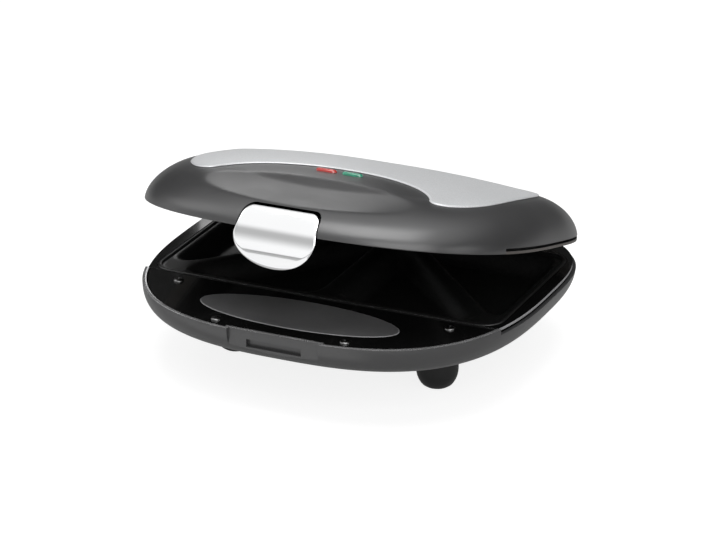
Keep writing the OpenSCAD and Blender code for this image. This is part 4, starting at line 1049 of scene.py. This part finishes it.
scene = bpy.context.scene
scene.view_settings.view_transform = "Standard"

deselect()
bpy.ops.mesh.primitive_plane_add(size=8, location=(0, 0, -0.0005))
floor = bpy.context.object
floor.name = "floor"
floor_mat = bpy.data.materials.new("pale_floor")
floor_mat.use_nodes = True
ground = floor_mat.node_tree
paint = ground.nodes["Principled BSDF"]
paint.inputs["Base Color"].default_value = (FLOOR_TONE, FLOOR_TONE, FLOOR_TONE, 1)
paint.inputs["Roughness"].default_value = 0.8
paint.inputs["Emission Color"].default_value = (1, 1, 1, 1)
path = ground.nodes.new("ShaderNodeLightPath")
shown = ground.nodes.new("ShaderNodeMath")
shown.operation = "MAXIMUM"
for socket, (ray, strength) in zip(shown.inputs, FLOOR_SEEN.items()):
    part_seen = ground.nodes.new("ShaderNodeMath")
    part_seen.operation = "MULTIPLY"
    part_seen.inputs[1].default_value = strength
    ground.links.new(path.outputs[ray], part_seen.inputs[0])
    ground.links.new(part_seen.outputs[0], socket)
ground.links.new(shown.outputs[0], paint.inputs["Emission Strength"])
floor.data.materials.append(floor_mat)

world = bpy.data.worlds.new("studio")
scene.world = world
world.use_nodes = True
sky = world.node_tree
sky.nodes.clear()


def sky_node(kind, **settings):
    made = sky.nodes.new(kind)
    for key, value in settings.items():
        setattr(made, key, value)
    return made


def sky_math(how, a, b):
    made = sky_node("ShaderNodeMath", operation=how)
    for socket, value in zip(made.inputs, (a, b)):
        if isinstance(value, (int, float)):
            socket.default_value = value
        else:
            sky.links.new(value, socket)
    return made.outputs[0]


def sky_ramp(value, start, end, low, high):
    """Low up to start and high from end, with a soft change between"""
    made = sky_node("ShaderNodeMapRange", interpolation_type="SMOOTHSTEP")
    for key, number in (("From Min", start), ("From Max", end), ("To Min", low), ("To Max", high)):
        made.inputs[key].default_value = number
    sky.links.new(value, made.inputs["Value"])
    return made.outputs[0]


# White studio: bright above and in front, dimmer low at the sides and back, with a dim band for the latch.
# Matt surfaces get a part of it only, and the camera sees it plain white
axes = sky_node("ShaderNodeSeparateXYZ")
sky.links.new(sky_node("ShaderNodeTexCoord").outputs["Generated"], axes.inputs[0])
up = axes.outputs["Z"]
ahead = sky_math("ADD", *[sky_math("MULTIPLY", axes.outputs[axis], k) for axis, k in zip("XY", FORWARD)])
band = sky_math("MULTIPLY", sky_ramp(up, 0.2, 0.55, 0, 1), sky_ramp(up, 0.60, 0.76, 1, 0))
band = sky_math("MULTIPLY", sky_math("MULTIPLY", band, sky_ramp(ahead, 0.35, 0.7, 0, 1)), BAND_DIM)
bright = sky_math("MAXIMUM", sky_ramp(up, 0.5, 0.85, 0, 1), sky_ramp(ahead, -0.1, 0.5, 0, 1))
glow = sky_math("ADD", sky_math("MULTIPLY", bright, 1 - SKY_LOW), SKY_LOW)
glow = sky_math("MULTIPLY", glow, sky_math("SUBTRACT", 1, band))
path = sky_node("ShaderNodeLightPath")
clear_view = sky_math("MAXIMUM", path.outputs["Is Glossy Ray"], path.outputs["Is Transmission Ray"])
strength = sky_math("MULTIPLY", glow, sky_math("ADD", sky_math("MULTIPLY", clear_view, 1 - AMBIENT), AMBIENT))
strength = sky_math("MAXIMUM", strength, path.outputs["Is Camera Ray"])
glow_shader = sky_node("ShaderNodeBackground")
glow_shader.inputs["Color"].default_value = (1, 1, 1, 1)
sky.links.new(strength, glow_shader.inputs["Strength"])
sky.links.new(glow_shader.outputs[0], sky_node("ShaderNodeOutputWorld").inputs["Surface"])


def soft_box(name, at, aim, size, power):
    """A lamp as a bright card that the camera doesn't see"""
    light = bpy.data.lights.new(name, "AREA")
    light.shape = "RECTANGLE"
    light.size, light.size_y = size
    light.energy = power
    obj = bpy.data.objects.new(name, light)
    bpy.context.collection.objects.link(obj)
    obj.location = at
    obj.rotation_euler = (Vector(at) - Vector(aim)).to_track_quat("Z", "Y").to_euler()
    obj.visible_camera = False


MIDDLE = (0, 0, 0.05)
soft_box("top_light", at=(0.05, -0.12, 1.25), aim=MIDDLE, size=(0.9, 0.9), power=9.5)
soft_box("left_light", at=(-1.2, -0.05, 1.15), aim=MIDDLE, size=(0.8, 0.8), power=2)
# Two small cards, for the finger scoop and for the lower edge of the latch
soft_box("rear_card", at=(-0.245, 0.42, 0.26), aim=(0, -0.08, 0.12), size=(0.13, 0.14), power=0.09)
soft_box("front_card", at=(-0.15, -0.45, 0.001), aim=(-0.15, -0.45, 0.2), size=(0.42, 0.62), power=0.33)
soft_box("right_light", at=(1.5, -0.1, 0.55), aim=MIDDLE, size=(0.8, 0.6), power=2)
soft_box("front_light", at=(0.95, -1.2, 1.1), aim=MIDDLE, size=(1.5, 1.0), power=10)
